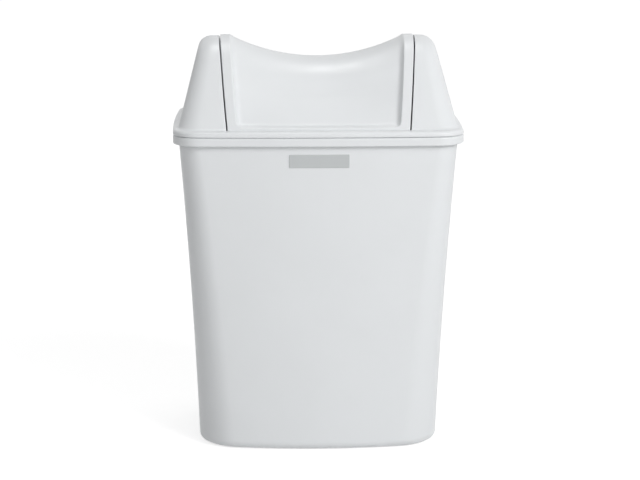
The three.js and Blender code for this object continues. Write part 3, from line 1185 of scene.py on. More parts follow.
    def build(self) -> bpy.types.Object:
        """Build the hood, with its towers, hollows, pegs and bores.

        Returns:
            The hood's piece.
        """
        sizes = self.sizes
        gap = sizes.seam_gap / 2
        cheek = sizes.pivot.hub_half_width + gap
        peg_end = cheek + sizes.cheek_wall / 2
        peg_drop = sizes.pivot.height - sizes.flange_top - self.peg_rise
        bore_end = cheek + 3 * self.wall
        hood = drawn("hood_moulding", self.flange_rings(), Ends.JOINED)
        for side in Side:
            combine(hood, self.tower_block(side, self.tower_rows(), gap, self.seam_edge), Cut.ADD)
        for side in Side:
            hollow = self.tower_block(side, self.hollow_rows(), gap + sizes.cheek_wall, self.seam_edge / 2)
            combine(hood, hollow, Cut.TAKE)
        combine(hood, drawn("groove", self.groove_rings(), Ends.JOINED), Cut.TAKE)
        for side in Side:
            peg = cross_rod("peg", sizes, side, self.peg_radius, cheek - self.peg_reach, peg_end, peg_drop)
            combine(hood, peg, Cut.ADD)
            bore = cross_rod("bore", sizes, side, self.bore_radius, cheek - self.wall, bore_end)
            combine(hood, bore, Cut.TAKE)
        return smoothed(hood)


@dataclass
class Flap:
    """The swing flap with its saddle-shaped crest and recessed panel."""

    sizes: BinSizes
    hood: Hood
    wall: float = 2.2 * MM
    lip_depth: float = 7 * MM
    lower_edge: float = 0.2 * MM
    edge_support_share: float = 0.1
    side_edge: float = 0.4 * MM
    border: float = 7.2 * MM
    saddle_depth: float = 18 * MM
    recess_depth: float = 3.8 * MM
    recess_foot: float = 1.3 * MM
    recess_foot_depth: float = 1 * MM
    recess_foot_share: float = 0.13
    recess_crest_share: float = 0.4
    fade_start_share: float = 0.1
    fade_run_share: float = 0.65
    side_fade_power: int = 3
    recess_corner: float = 6 * MM
    recess_wall: float = 5.6 * MM
    recess_edge: float = 1 * MM
    return_depth: float = 16 * MM
    ear_radius: float = 14 * MM
    boss_radius: float = 7.5 * MM
    boss_length: float = 10 * MM
    bore_radius: float = 4.3 * MM
    lip_steps: int = 5
    lower_edge_steps: int = 6
    crest_steps: int = 22
    edge_steps: int = 4
    wall_stations: tuple[float, ...] = (
        0.0, 0.3, 0.6, 0.9, 1.3, 1.7, 2.2, 2.7, 3.3, 4.0, 4.8, 5.6, 6.5, 7.5, 9.0, 11.0, 14.0,
    )
    border_shares: tuple[float, ...] = (0.0, 0.15, 0.4, 0.7, 0.92)
    panel_steps: int = 18
    slope_steps: int = 18

    def recess_share(self, into: float) -> float:
        """Return how much of its depth the recess has at a distance inside its outline.

        Args:
            into: the distance.

        Returns:
            A share from 0 to 1.
        """
        if into <= 0:
            return 0.0
        tail = self.recess_wall - self.recess_edge
        whole = self.recess_edge / 2 + tail / 3
        if into <= self.recess_edge:
            return into**2 / (2 * self.recess_edge) / whole
        rest = max(1 - (into - self.recess_edge) / tail, 0.0)
        return (self.recess_edge / 2 + tail / 3 * (1 - rest**3)) / whole

    def slope_sink(self, share: float, outward: float) -> float:
        """Return how far the panel sinks on its slope.

        Args:
            share: the share of the way from the panel's foot to the crest's curve.
            outward: 0 in the middle of the panel and 1 at its sides.

        Returns:
            The distance below the straight slope.
        """
        upper = mix(eased((1 - share) / self.recess_crest_share), 1.0, outward)
        return self.recess_depth * eased(share / self.recess_foot_share) * upper

    def crest_sink(self, share: float, outward: float) -> float:
        """Return how far the panel sinks at a share of the crest's curve, from its start to its top."""
        fade = eased((share - self.fade_start_share) / self.fade_run_share)
        return self.recess_depth * outward * (1 - fade)

    def distance_inside(self, from_side: float, from_foot: float) -> float:
        """Return the distance inside the recess's outline, which has rounded lower corners.

        Args:
            from_side: distance from the outline's side.
            from_foot: distance above its lower edge.

        Returns:
            The distance, which isn't above zero outside the outline.
        """
        near = min(from_side, from_foot)
        if max(from_side, from_foot) >= self.recess_corner or near <= 0:
            return near
        return self.recess_corner - math.hypot(self.recess_corner - from_side, self.recess_corner - from_foot)

    def saddle_drop(self, share: float) -> float:
        """Return how far the crest lies below the borders at a share of the panel's half width.

        Args:
            share: the share.

        Returns:
            The drop.
        """
        half = self.sizes.pivot.hub_half_width - self.sizes.seam_gap / 2 - self.border
        radius = (half**2 + self.saddle_depth**2) / (2 * self.saddle_depth)
        if abs(share) >= 1:
            return 0.0
        return self.saddle_depth - radius + math.sqrt(radius**2 - (share * half) ** 2)

    def bow(self, x: float, height: float) -> float:
        """Return how far the flap's face falls back at a place along its width."""
        plan = self.hood.skin_plan(height)
        return plan.front_bow * (x / plan.half_width) ** 2


class Band(Enum):
    """A band of the flap's skin, from its side edge inwards."""

    EDGE = "edge"
    BORDER = "border"
    WALL = "wall"
    PANEL = "panel"


class FlapSections:
    """The flap's front half sections, from its lip to its crest, at one distance inside its skin."""

    SEARCH_REACH = 0.2
    SEARCH_ROUNDS = 50

    def __init__(self, flap: Flap, inset: float) -> None:
        """Work out the border's section.

        Args:
            flap: the flap.
            inset: distance inside the skin.
        """
        self.flap = flap
        self.inset = inset
        self.sizes = flap.sizes
        self.radius = self.sizes.crest_radius - inset
        self.reach = self.sizes.flap_reach - inset
        foot = (self.sizes.foot_half_depth, self.sizes.flange_top)
        self.tilt = slope_tilt(foot, self.sizes.crest_centre, self.sizes.crest_radius)
        self.normal = (math.sin(self.tilt), math.cos(self.tilt))
        self.upwards = (-math.cos(self.tilt), math.sin(self.tilt))
        self.tangent = self.on_crest(self.tilt, 0.0)
        self.corner = self._slope_meets_reach()
        edge = self.sizes.flange_top + flap.recess_foot
        self.recess_start = (self.tangent[1] - edge) / self.upwards[1]
        self.lip = self._lip_points()

    def on_crest(self, tilt: float, drop: float, sink: float = 0.0) -> Point:
        """Return the point of the crest's circle at a tilt, with the circle lowered and made smaller.

        Args:
            tilt: the angle from upright.
            drop: how far the circle is lowered.
            sink: how much smaller its radius is.

        Returns:
            The point's depth and height.
        """
        centre = self.sizes.crest_centre - drop
        radius = self.radius - sink
        return radius * math.sin(tilt), centre + radius * math.cos(tilt)

    def on_slope(self, below: float) -> Point:
        """Return the point of the border's slope at a distance below the crest's curve."""
        return self.tangent[0] - self.upwards[0] * below, self.tangent[1] - self.upwards[1] * below

    def _slope_meets_reach(self) -> float:
        """Find where the slope meets the circle of the lip.

        Returns:
            The distance below the crest's curve.
        """
        low = 0.0
        high = self.SEARCH_REACH
        for _ in range(self.SEARCH_ROUNDS):
            middle = (low + high) / 2
            depth, height = self.on_slope(middle)
            inside = self.sizes.pivot.radius_at(depth, height) < self.reach
            low, high = (middle, high) if inside else (low, middle)
        return low

    def _corner_angle(self) -> float:
        """Return how far below level the slope's lower corner lies, seen from the pivot."""
        depth, height = self.on_slope(self.corner)
        return math.atan2(self.sizes.pivot.height - height, depth)

    def _corner_setback(self) -> float:
        """Work out where the rounding of the lower edge starts and ends.

        Returns:
            The distance of both from the slope's lower corner.
        """
        least_edge = self.flap.lower_edge / 3
        edge = max(self.flap.lower_edge - self.inset, least_edge)
        turn = QUARTER_TURN - self.tilt + self._corner_angle()
        return edge * math.tan(turn / 2)

    def _lip_points(self) -> list[Point]:
        """Work out the lip and its rounded upper edge, from the bottom to the slope.

        Returns:
            Depths and heights.
        """
        pivot = self.sizes.pivot.height
        bottom = self.sizes.flange_top - self.flap.lip_depth
        if self.inset > 0:
            bottom -= 2 * self.flap.wall
        corner = self.on_slope(self.corner)
        setback = self._corner_setback()
        angle_at_bottom = math.asin((pivot - bottom) / self.reach)
        start_angle = self._corner_angle() + setback / self.reach
        points = []
        for share in steps(self.flap.lip_steps):
            angle = mix(angle_at_bottom, start_angle, share)
            points.append((self.reach * math.cos(angle), pivot - self.reach * math.sin(angle)))
        end = self.on_slope(self.corner - setback)
        begin = points[-1]
        for share in steps(self.flap.lower_edge_steps)[1:]:
            low = mix_points(begin, corner, share)
            high = mix_points(corner, end, share)
            points.append(mix_points(low, high, share))
        return points

    def _edge_support(self) -> Point:
        """Return the point that keeps the slope flat close above its rounded lower edge."""
        slope_begin = self.corner - self._corner_setback()
        return self.on_slope(mix(slope_begin, self.recess_start, self.flap.edge_support_share))

    def stations(self) -> list[float]:
        """Choose where the slope has a row.

        Returns:
            Distances above the recess's lower edge.
        """
        near = [value * MM for value in self.flap.wall_stations]
        rest = [mix(near[-1], self.recess_start, share) for share in steps(self.flap.slope_steps)[1:]]
        return [*near, *rest]

    def border(self) -> list[Point]:
        """Work out the border's section, from the lip's bottom to the crest's top.

        Returns:
            Depths and heights.
        """
        points = [*self.lip, self._edge_support()]
        points += [self.on_slope(self.recess_start - rise) for rise in self.stations()]
        for share in steps(self.flap.crest_steps)[1:]:
            points.append(self.on_crest(self.tilt * (1 - share), 0.0))
        return points

    def panel(self, drop: float, outward: float) -> list[Point]:
        """Return the recessed panel's section.

        Args:
            drop: how far the crest lies lower there.
            outward: 0 in the middle of the panel and 1 at its sides.

        Returns:
            As many points as the border's section has.
        """
        sunk = self.flap.recess_foot_depth
        edge = self.on_slope(self.recess_start)
        foot = (edge[0] - self.normal[0] * sunk, edge[1] - self.normal[1] * sunk)
        centre = self.sizes.crest_centre - drop
        tilt = slope_tilt(foot, centre, self.radius)
        tangent = self.on_crest(tilt, drop)
        points = [*self.lip, self._edge_support()]
        for rise in self.stations():
            share = rise / self.recess_start
            sink = self.flap.slope_sink(share, outward)
            depth, height = mix_points(foot, tangent, share)
            points.append((depth - self.normal[0] * sink, height - self.normal[1] * sink))
        for share in steps(self.flap.crest_steps)[1:]:
            points.append(self.on_crest(tilt * (1 - share), drop, self.flap.crest_sink(share, outward)))
        return points

    def distances_from_foot(self) -> list[float]:
        """Work out how far each row lies above the recess's lower edge.

        Returns:
            A distance for each row of the front half.
        """
        below = [-self.flap.recess_wall] * (len(self.lip) + 1)
        above = [self.recess_start + self.flap.recess_wall] * self.flap.crest_steps
        return [*below, *self.stations(), *above]

    def block(self, name: str, shift: float, edge: float) -> bpy.types.Object:
        """Build the closed solid inside this skin.

        Args:
            name: the name of the solid.
            shift: how far its side faces lie inside the seam's middle.
            edge: radius of the edges along its sides.

        Returns:
            The closed solid.
        """
        border = self.border()
        above = self.distances_from_foot()
        half_rows = len(border) - 1
        normals = outward_normals(border)
        columns = self._columns(edge)
        half_columns = len(columns) - 1
        sections: dict[float, list[Point]] = {}

        def half_place(column: int, row: int) -> tuple[float, float, float]:
            """Return a point of the quarter that the others mirror: width, depth and height.

            Args:
                column: the point's column.
                row: its row.

            Returns:
                The point's width, depth and height.
            """
            depth, height = border[row]
            kind, value = columns[column]
            if kind is Band.EDGE:
                angle = value * QUARTER_TURN
                fall = edge * (1 - math.cos(angle))
                depth -= normals[row][0] * fall
                height -= normals[row][1] * fall
                depth -= self.flap.bow(self.sizes.seam(depth, height) - shift, height)
                x = self.sizes.seam(depth, height) - shift - edge * (1 - math.sin(angle))
                return x, depth, height
            side = self.sizes.seam(depth, height) - shift
            side = self.sizes.seam(depth - self.flap.bow(side, height), height) - shift
            outline = side + shift - self.sizes.seam_gap / 2 - self.flap.border
            if kind is Band.BORDER:
                x = mix(side - edge, outline, value)
                bow = self.flap.bow(side if value == 0.0 else x, height)
                return x, depth - bow, height
            near = self.flap.wall_stations[-1] * MM
            x = outline - value if kind is Band.WALL else (outline - near) * value
            into = self.flap.distance_inside(outline - x, above[row])
            share = self.flap.recess_share(into)
            drop = self.flap.saddle_drop(x / outline)
            if drop not in sections:
                outward = min(abs(x / outline), 1.0) ** self.flap.side_fade_power
                sections[drop] = self.panel(drop, outward)
            depth, height = mix_points((depth, height), sections[drop][row], share)
            return x, depth - self.flap.bow(x, height), height

        cache: dict[tuple[int, int], tuple[float, float, float]] = {}

        def place(column: int, row: int) -> Vector:
            """Return the place of a point of the skin.

            Args:
                column: the point's column.
                row: its row.

            Returns:
                The place.
            """
            left = column > half_columns
            rear = row > half_rows
            key = (2 * half_columns - column if left else column, 2 * half_rows - row if rear else row)
            if key not in cache:
                cache[key] = half_place(*key)
            x, depth, height = cache[key]
            return Vector((-x if left else x, depth if rear else -depth, height))

        skin = patch(name, 2 * half_columns, 2 * half_rows, place)
        rim = [place(0, row) for row in range(2 * half_rows + 1)]
        line = [(point.y, point.z) for point in rim]
        base = bottom_line(line[-1][0], line[0][0], line[0][1])
        faces = [
            side_disc("flap_side", [*line, *base], self.sizes, side, -shift, self.flap.bore_radius / 2)
            for side in Side
        ]
        return joined(skin, *faces)

    def _columns(self, edge: float) -> list[tuple[Band, float]]:
        """Return the columns of half the skin, from its side edge to its middle.

        Args:
            edge: radius of the edges along the sides.

        Returns:
            Each column's band, and its share or distance there.
        """
        columns: list[tuple[Band, float]] = []
        if edge > 0:
            columns += [(Band.EDGE, share) for share in reversed(steps(self.flap.edge_steps)[1:])]
        columns += [(Band.BORDER, share) for share in self.flap.border_shares]
        columns += [(Band.WALL, value * MM) for value in self.flap.wall_stations]
        columns += [(Band.PANEL, 1 - share) for share in steps(self.flap.panel_steps)[1:]]
        return columns


def side_window(flap: Flap, side: Side) -> bpy.types.Object:
    """Build the solid that opens the flap's side wall, but for a narrow return and the ear at its pivot.

    Args:
        flap: the flap.
        side: the side that is opened.

    Returns:
        The solid to take away.
    """
    sizes = flap.sizes
    sections = FlapSections(flap, flap.return_depth)
    front = [sections.on_slope(sections.corner + flap.return_depth), sections.on_slope(0.0)]
    front += [sections.on_crest(sections.tilt * (1 - share), 0.0) for share in steps(flap.crest_steps)[1:]]
    outline = [*front, *[(-depth, height) for depth, height in reversed(front[:-1])]]
    spare = 2 * flap.wall
    inner = sizes.pivot.foot_half_width - spare
    outer = sizes.pivot.hub_half_width + spare
    rings = [[Vector((side.value * x, depth, height)) for depth, height in outline] for x in (inner, outer)]
    window = drawn("side_window", rings)
    ear = cross_rod("ear", sizes, side, flap.ear_radius, inner - spare, outer + spare)
    combine(window, ear, Cut.TAKE)
    return window


def build_flap(flap: Flap) -> bpy.types.Object:
    """Build the flap and return its piece.

    Args:
        flap: the flap's sizes.

    Returns:
        The piece.
    """
    sizes = flap.sizes
    gap = sizes.seam_gap / 2
    face = sizes.pivot.hub_half_width - gap
    boss_start = face - flap.boss_length
    bore_start = face - sizes.pin_grip - sizes.seat_gap
    piece = FlapSections(flap, 0.0).block("flap_moulding", gap, flap.side_edge)
    combine(piece, FlapSections(flap, flap.wall).block("flap_hollow", gap + flap.wall, 0.0), Cut.TAKE)
    for side in Side:
        combine(piece, side_window(flap, side), Cut.TAKE)
        boss = cross_rod("boss", sizes, side, flap.boss_radius, boss_start, face - flap.wall / 2)
        combine(piece, boss, Cut.ADD)
        bore = cross_rod("bore", sizes, side, flap.bore_radius, bore_start, face + flap.wall)
        combine(piece, bore, Cut.TAKE)
    return smoothed(piece)


@dataclass
class BagRing:
    """The loose ring that grips the waste bag inside the tub's mouth."""

    sizes: BinSizes
    height: float = 12 * MM
    wall: float = 2 * MM
    lip: float = 5 * MM
    drop: float = 9.2 * MM
    edge: float = 0.6 * MM
    edge_steps: int = 4

    def section(self) -> list[Point]:
        """Work out the ring's section.

        Returns:
            Pairs of inset from the tub's skin and height.
        """
        top = self.sizes.rim_top - self.drop
        bottom = top - self.height
        outer = self.sizes.tub_wall + self.sizes.seat_gap
        nose = self.wall / 2
        edge = self.edge
        edge_arc = quarter_arc(edge, self.edge_steps)
        nose_arc = quarter_arc(nose, self.edge_steps)
        inner = outer + self.wall
        points = [(outer + edge - rise, bottom + run) for run, rise in edge_arc]
        points += [(outer + run, top - edge + rise) for run, rise in edge_arc]
        points += [(outer + self.lip - nose + rise, top - run) for run, rise in nose_arc]
        points += [(outer + self.lip - run, top - nose - rise) for run, rise in nose_arc[1:]]
        points += [(inner + edge - rise, top - self.wall - run) for run, rise in edge_arc]
        points += [(inner - run, bottom + edge - rise) for run, rise in edge_arc]
        return points

    def build(self) -> bpy.types.Object:
        """Draw the ring and return its piece."""
        rings = [self.sizes.wall_ring(height, inset) for inset, height in self.section()]
        return smoothed(drawn("bag_ring_moulding", rings, Ends.JOINED))


@dataclass
class Label:
    """The bare grey plate under the rim, which lies on the bowed wall."""

    sizes: BinSizes
    width: float = 48.8 * MM
    height: float = 10.85 * MM
    thickness: float = 0.4 * MM
    wall_gap: float = 0.05 * MM
    corner: float = 0.5 * MM
    edge: float = 0.12 * MM
    top_drop: float = 14.05 * MM
    columns: int = 48
    rows: int = 12
    corner_segments: int = 5
    edge_segments: int = 2

    def build(self) -> bpy.types.Object:
        """Lay a sheet on the wall, round its corners and thicken it.

        Returns:
            The plate's piece.
        """
        top = self.sizes.rim_top - self.top_drop

        def place(column: int, row: int) -> Vector:
            """Return the place of a point of the sheet's back.

            Args:
                column: the point's column.
                row: its row.

            Returns:
                The place.
            """
            x = self.width * (column / self.columns - 0.5)
            height = top - self.height * (1 - row / self.rows)
            return Vector((x, -self.sizes.wall_plan(height).depth_at(x) - self.wall_gap, height))

        piece = patch("label_plate_sheet", self.columns, self.rows, place)
        bpy.ops.object.mode_set(mode="EDIT")
        bpy.ops.mesh.select_mode(type="VERT")
        bpy.ops.mesh.select_all(action="DESELECT")
        mesh = bmesh.from_edit_mesh(piece.data)
        for vertex in mesh.verts:
            vertex.select_set(len(vertex.link_edges) == 2)
        mesh.select_flush_mode()
        bmesh.update_edit_mesh(piece.data)
        bpy.ops.mesh.bevel(offset=self.corner, segments=self.corner_segments, affect="VERTICES")
        bpy.ops.object.mode_set(mode="OBJECT")
        shell = piece.modifiers.new("thickness", "SOLIDIFY")
        shell.thickness = self.thickness
        shell.offset = 1.0
        bpy.ops.object.modifier_apply(modifier=shell.name)
        round_edges(piece, self.edge, self.edge_segments)
        return smoothed(piece)


@dataclass
class FootPad:
    """A non-slip pad, set into the recess under the base."""

    sizes: BinSizes
    side: Side
    row: Row
    radius: float = 8 * MM
    edge: float = 0.25 * MM
    edge_segments: int = 3
    inset: float = 6 * MM
    groove_width: float = 1.2 * MM
    groove_depth: float = 0.4 * MM
    downward: float = -0.9

    @property
    def node(self) -> str:
        """Name of the pad's node."""
        return f"foot_pad_{self.row.name.lower()}_{self.side.name.lower()}"

    def build(self) -> bpy.types.Object:
        """Add a disc, groove its underside and round its edges.

        Returns:
            The pad's piece.
        """
        base = self.sizes.base
        height = self.sizes.base_lift + self.sizes.base_recess - self.sizes.seat_gap
        place = (
            self.side.value * (base.half_width - base.corner - self.inset),
            self.row.value * (base.half_depth - base.corner - self.inset),
            height / 2,
        )
        start_afresh()
        bpy.ops.mesh.primitive_cylinder_add(
            vertices=ROUND_FACETS, radius=self.radius, depth=height, location=place
        )
        piece = name_new_piece(f"{self.node}_rubber")
        bpy.ops.object.transform_apply(location=True, rotation=True, scale=True)
        bpy.ops.object.mode_set(mode="EDIT")
        bpy.ops.mesh.select_mode(type="FACE")
        bpy.ops.mesh.select_all(action="DESELECT")
        mesh = bmesh.from_edit_mesh(piece.data)
        for face in mesh.faces:
            face.select_set(face.normal.z < self.downward)
        bmesh.update_edit_mesh(piece.data)
        for width in (2 * self.groove_width, self.groove_width, self.groove_width / 4):
            bpy.ops.mesh.inset(thickness=width)
        bpy.ops.transform.translate(value=(0.0, 0.0, self.groove_depth))
        bpy.ops.object.mode_set(mode="OBJECT")
        round_edges(piece, self.edge, self.edge_segments)
        return smoothed(piece)


@dataclass
class PivotHardware:
    """The headed pin and the flanged bush that carry the flap at one side."""

    sizes: BinSizes
    side: Side
    pin_radius: float = 4 * MM
    head_radius: float = 6.5 * MM
    head_thickness: float = 2 * MM
    bush_radius: float = 6 * MM
    flange_radius: float = 8.5 * MM
    bush_tail: float = 1.5 * MM
    edge: float = 0.3 * MM
    edge_steps: int = 3
    facets: int = 64

    @property
    def cheek_face(self) -> float:
        """How far out the tower's inner face lies at the hub."""
        return self.sizes.pivot.hub_half_width + self.sizes.seam_gap / 2

    @property
    def flap_face(self) -> float:
        """How far out the flap's side lies at the hub."""
        return self.sizes.pivot.hub_half_width - self.sizes.seam_gap / 2

    @property
    def bush_end(self) -> float:
        """How far out the bush ends inside the tower."""
        return self.cheek_face + self.sizes.cheek_wall + self.bush_tail

    def turned(self, name: str, profile: Sequence[Point], ends: Ends) -> bpy.types.Object:
        """Draw a body round the pivot's axis.

        Args:
            name: the name of the piece.
            profile: pairs of radius and distance from the middle of the bin.
            ends: capped on the axis, or joined to a tube.

        Returns:
            The closed piece.
        """
        centre = self.sizes.pivot.height
        angles = [share * 4 * QUARTER_TURN for share in steps(self.facets)[:-1]]
        rings = [
            [
                Vector((self.side.value * along, radius * math.cos(angle), centre + radius * math.sin(angle)))
                for angle in angles
            ]
            for radius, along in profile
        ]
        return smoothed(drawn(f"{name}_{self.side.name.lower()}_turned", rings, ends))

    def build_bush(self) -> bpy.types.Object:
        """Draw the bush with its flange.

        Returns:
            The bush's piece.
        """
        bore = self.pin_radius + self.sizes.seat_gap
        inner = self.flap_face + self.sizes.seat_gap
        outer = self.cheek_face - self.sizes.seat_gap
        end = self.bush_end
        largest_edge = (outer - inner) / 3
        edge = min(self.edge, largest_edge)
        arc = quarter_arc(edge, self.edge_steps)
        profile = [(bore, inner + edge), (bore + edge, inner)]
        profile += [(self.flange_radius - edge + rise, inner + run) for run, rise in arc]
        profile += [(self.flange_radius - run, outer - edge + rise) for run, rise in arc]
        profile += [(self.bush_radius, outer)]
        profile += [(self.bush_radius - run, end - edge + rise) for run, rise in arc]
        profile += [(bore + edge, end), (bore, end - edge)]
        return self.turned("pivot_bush", profile, Ends.JOINED)

    def build_pin(self) -> bpy.types.Object:
        """Draw the pin with its head.

        Returns:
            The pin's piece.
        """
        tip = self.flap_face - self.sizes.pin_grip
        head = self.bush_end + self.sizes.seat_gap
        end = head + self.head_thickness
        edge = self.edge
        lead = 2 * edge
        arc = quarter_arc(edge, self.edge_steps)
        profile = [(self.pin_radius / 2, tip), (self.pin_radius - lead, tip), (self.pin_radius, tip + lead)]
        profile += [(self.pin_radius, head)]
        profile += [(self.head_radius - edge + rise, head + run) for run, rise in arc]
        profile += [(self.head_radius - run, end - edge + rise) for run, rise in arc]
        profile += [(self.head_radius / 2, end)]
        return self.turned("pivot_pin", profile, Ends.CAPPED)


def mark_edges(piece: bpy.types.Object, reach: float = 1 * MM, least_step: float = 0.1 * MM) -> None:
    """Store at each point how sharply the skin curves outwards there, for the wear of its edges.

    Args:
        piece: the piece.
        reach: the radius of an edge that counts as sharp.
        least_step: neighbours nearer than this count as this far away.
    """
    mesh = bmesh.new()
    mesh.from_mesh(piece.data)
    mesh.normal_update()
    wear = mesh.verts.layers.float.new(WEAR)
    for vertex in mesh.verts:
        sharpest = 0.0
        for edge in vertex.link_edges:
            run = vertex.co - edge.other_vert(vertex).co
            sharpest = max(sharpest, 2 * vertex.normal.dot(run) / (run.length_squared + least_step**2))
        vertex[wear] = min(sharpest * reach, 1.0)
    mesh.to_mesh(piece.data)
    mesh.free()


class NodeBench:
    """Adds shader nodes to one tree and links them."""

    def __init__(self, tree: bpy.types.NodeTree) -> None:
        """Take the tree to work on."""
        self.tree = tree

    def add(self, kind: str, inputs: dict[str, Value] | None = None, **settings: object) -> bpy.types.Node:
        """Add a node.

        Args:
            kind: the node's type.
            inputs: values or sockets for its inputs, by name.
            settings: values for its own properties.

        Returns:
            The node.
        """
        node = self.tree.nodes.new(kind)
        for name, value in settings.items():
            setattr(node, name, value)
        for name, value in (inputs or {}).items():
            self.feed(node.inputs[name], value)
        return node

    def feed(self, socket: bpy.types.NodeSocket, value: Value) -> None:
        """Link a socket to another one, or set its value.

        Args:
            socket: the input.
            value: the other socket, or the value.
        """
        if isinstance(value, bpy.types.NodeSocket):
            self.tree.links.new(value, socket)
        else:
            socket.default_value = value

    def noise(self, vector: Value, scale: Value, detail: float = 2.0, roughness: float = 0.5) -> Value:
        """Return a noise pattern's value.

        Args:
            vector: the place to read.
            scale: the pattern's scale.
            detail: its detail.
            roughness: its roughness.

        Returns:
            The socket with the value.
        """
        node = self.add("ShaderNodeTexNoise", {"Vector": vector, "Scale": scale, "Detail": detail})
        node.inputs["Roughness"].default_value = roughness
        return node.outputs["Factor"] if "Factor" in node.outputs else node.outputs["Fac"]

    def maths(self, operation: str, *values: Value, clamp: bool = False) -> Value:
        """Return the result of a sum on one to three values.

        Args:
            operation: the sum.
            values: its values, in order.
            clamp: whether the result is held between 0 and 1.

        Returns:
            The socket with the result.
        """
        node = self.add("ShaderNodeMath", operation=operation, use_clamp=clamp)
        for socket, value in zip(node.inputs, values):
            self.feed(socket, value)
        return node.outputs[0]

    def ranged(
        self, value: Value, low: float, high: float, to_low: Value = 0.0, to_high: Value = 1.0
    ) -> Value:
        """Return a value moved smoothly from one range to another.

        Args:
            value: the value.
            low: the low end of its range.
            high: the high end of its range.
            to_low: the result at the low end.
            to_high: the result at the high end.

        Returns:
            The result, which stays between its two ends.
        """
        node = self.add(
            "ShaderNodeMapRange",
            {"Value": value, "From Min": low, "From Max": high, "To Min": to_low, "To Max": to_high},
            interpolation_type="SMOOTHSTEP",
        )
        return node.outputs["Result"]

    def colours(self, share: Value, first: Value, second: Value) -> Value:
        """Return a colour between two others.

        Args:
            share: 0 for the first colour and 1 for the second.
            first: the first colour.
            second: the second colour.

        Returns:
            The socket with the colour.
        """
        node = self.add("ShaderNodeMix", data_type="RGBA")
        colour_inputs = [socket for socket in node.inputs if socket.type == "RGBA"]
        self.feed(node.inputs[0], share)
        self.feed(colour_inputs[0], first)
        self.feed(colour_inputs[1], second)
        return next(socket for socket in node.outputs if socket.type == "RGBA")

    def shown_share(self) -> Value:
        """Tell rays that show the background, to the camera or in a reflection, from those that light.

        Returns:
            The socket with 1 for the first kind and 0 for the second.
        """
        path = self.add("ShaderNodeLightPath")
        mirrored = self.maths("ADD", path.outputs["Is Glossy Ray"], path.outputs["Is Transmission Ray"])
        return self.maths("ADD", path.outputs["Is Camera Ray"], mirrored, clamp=True)


class Effect(Enum):
    """A shader effect that several finishes share."""

    RELIEF = "moulding_relief"
    HANDLING = "handling_marks"
    EDGE = "edge_polish"


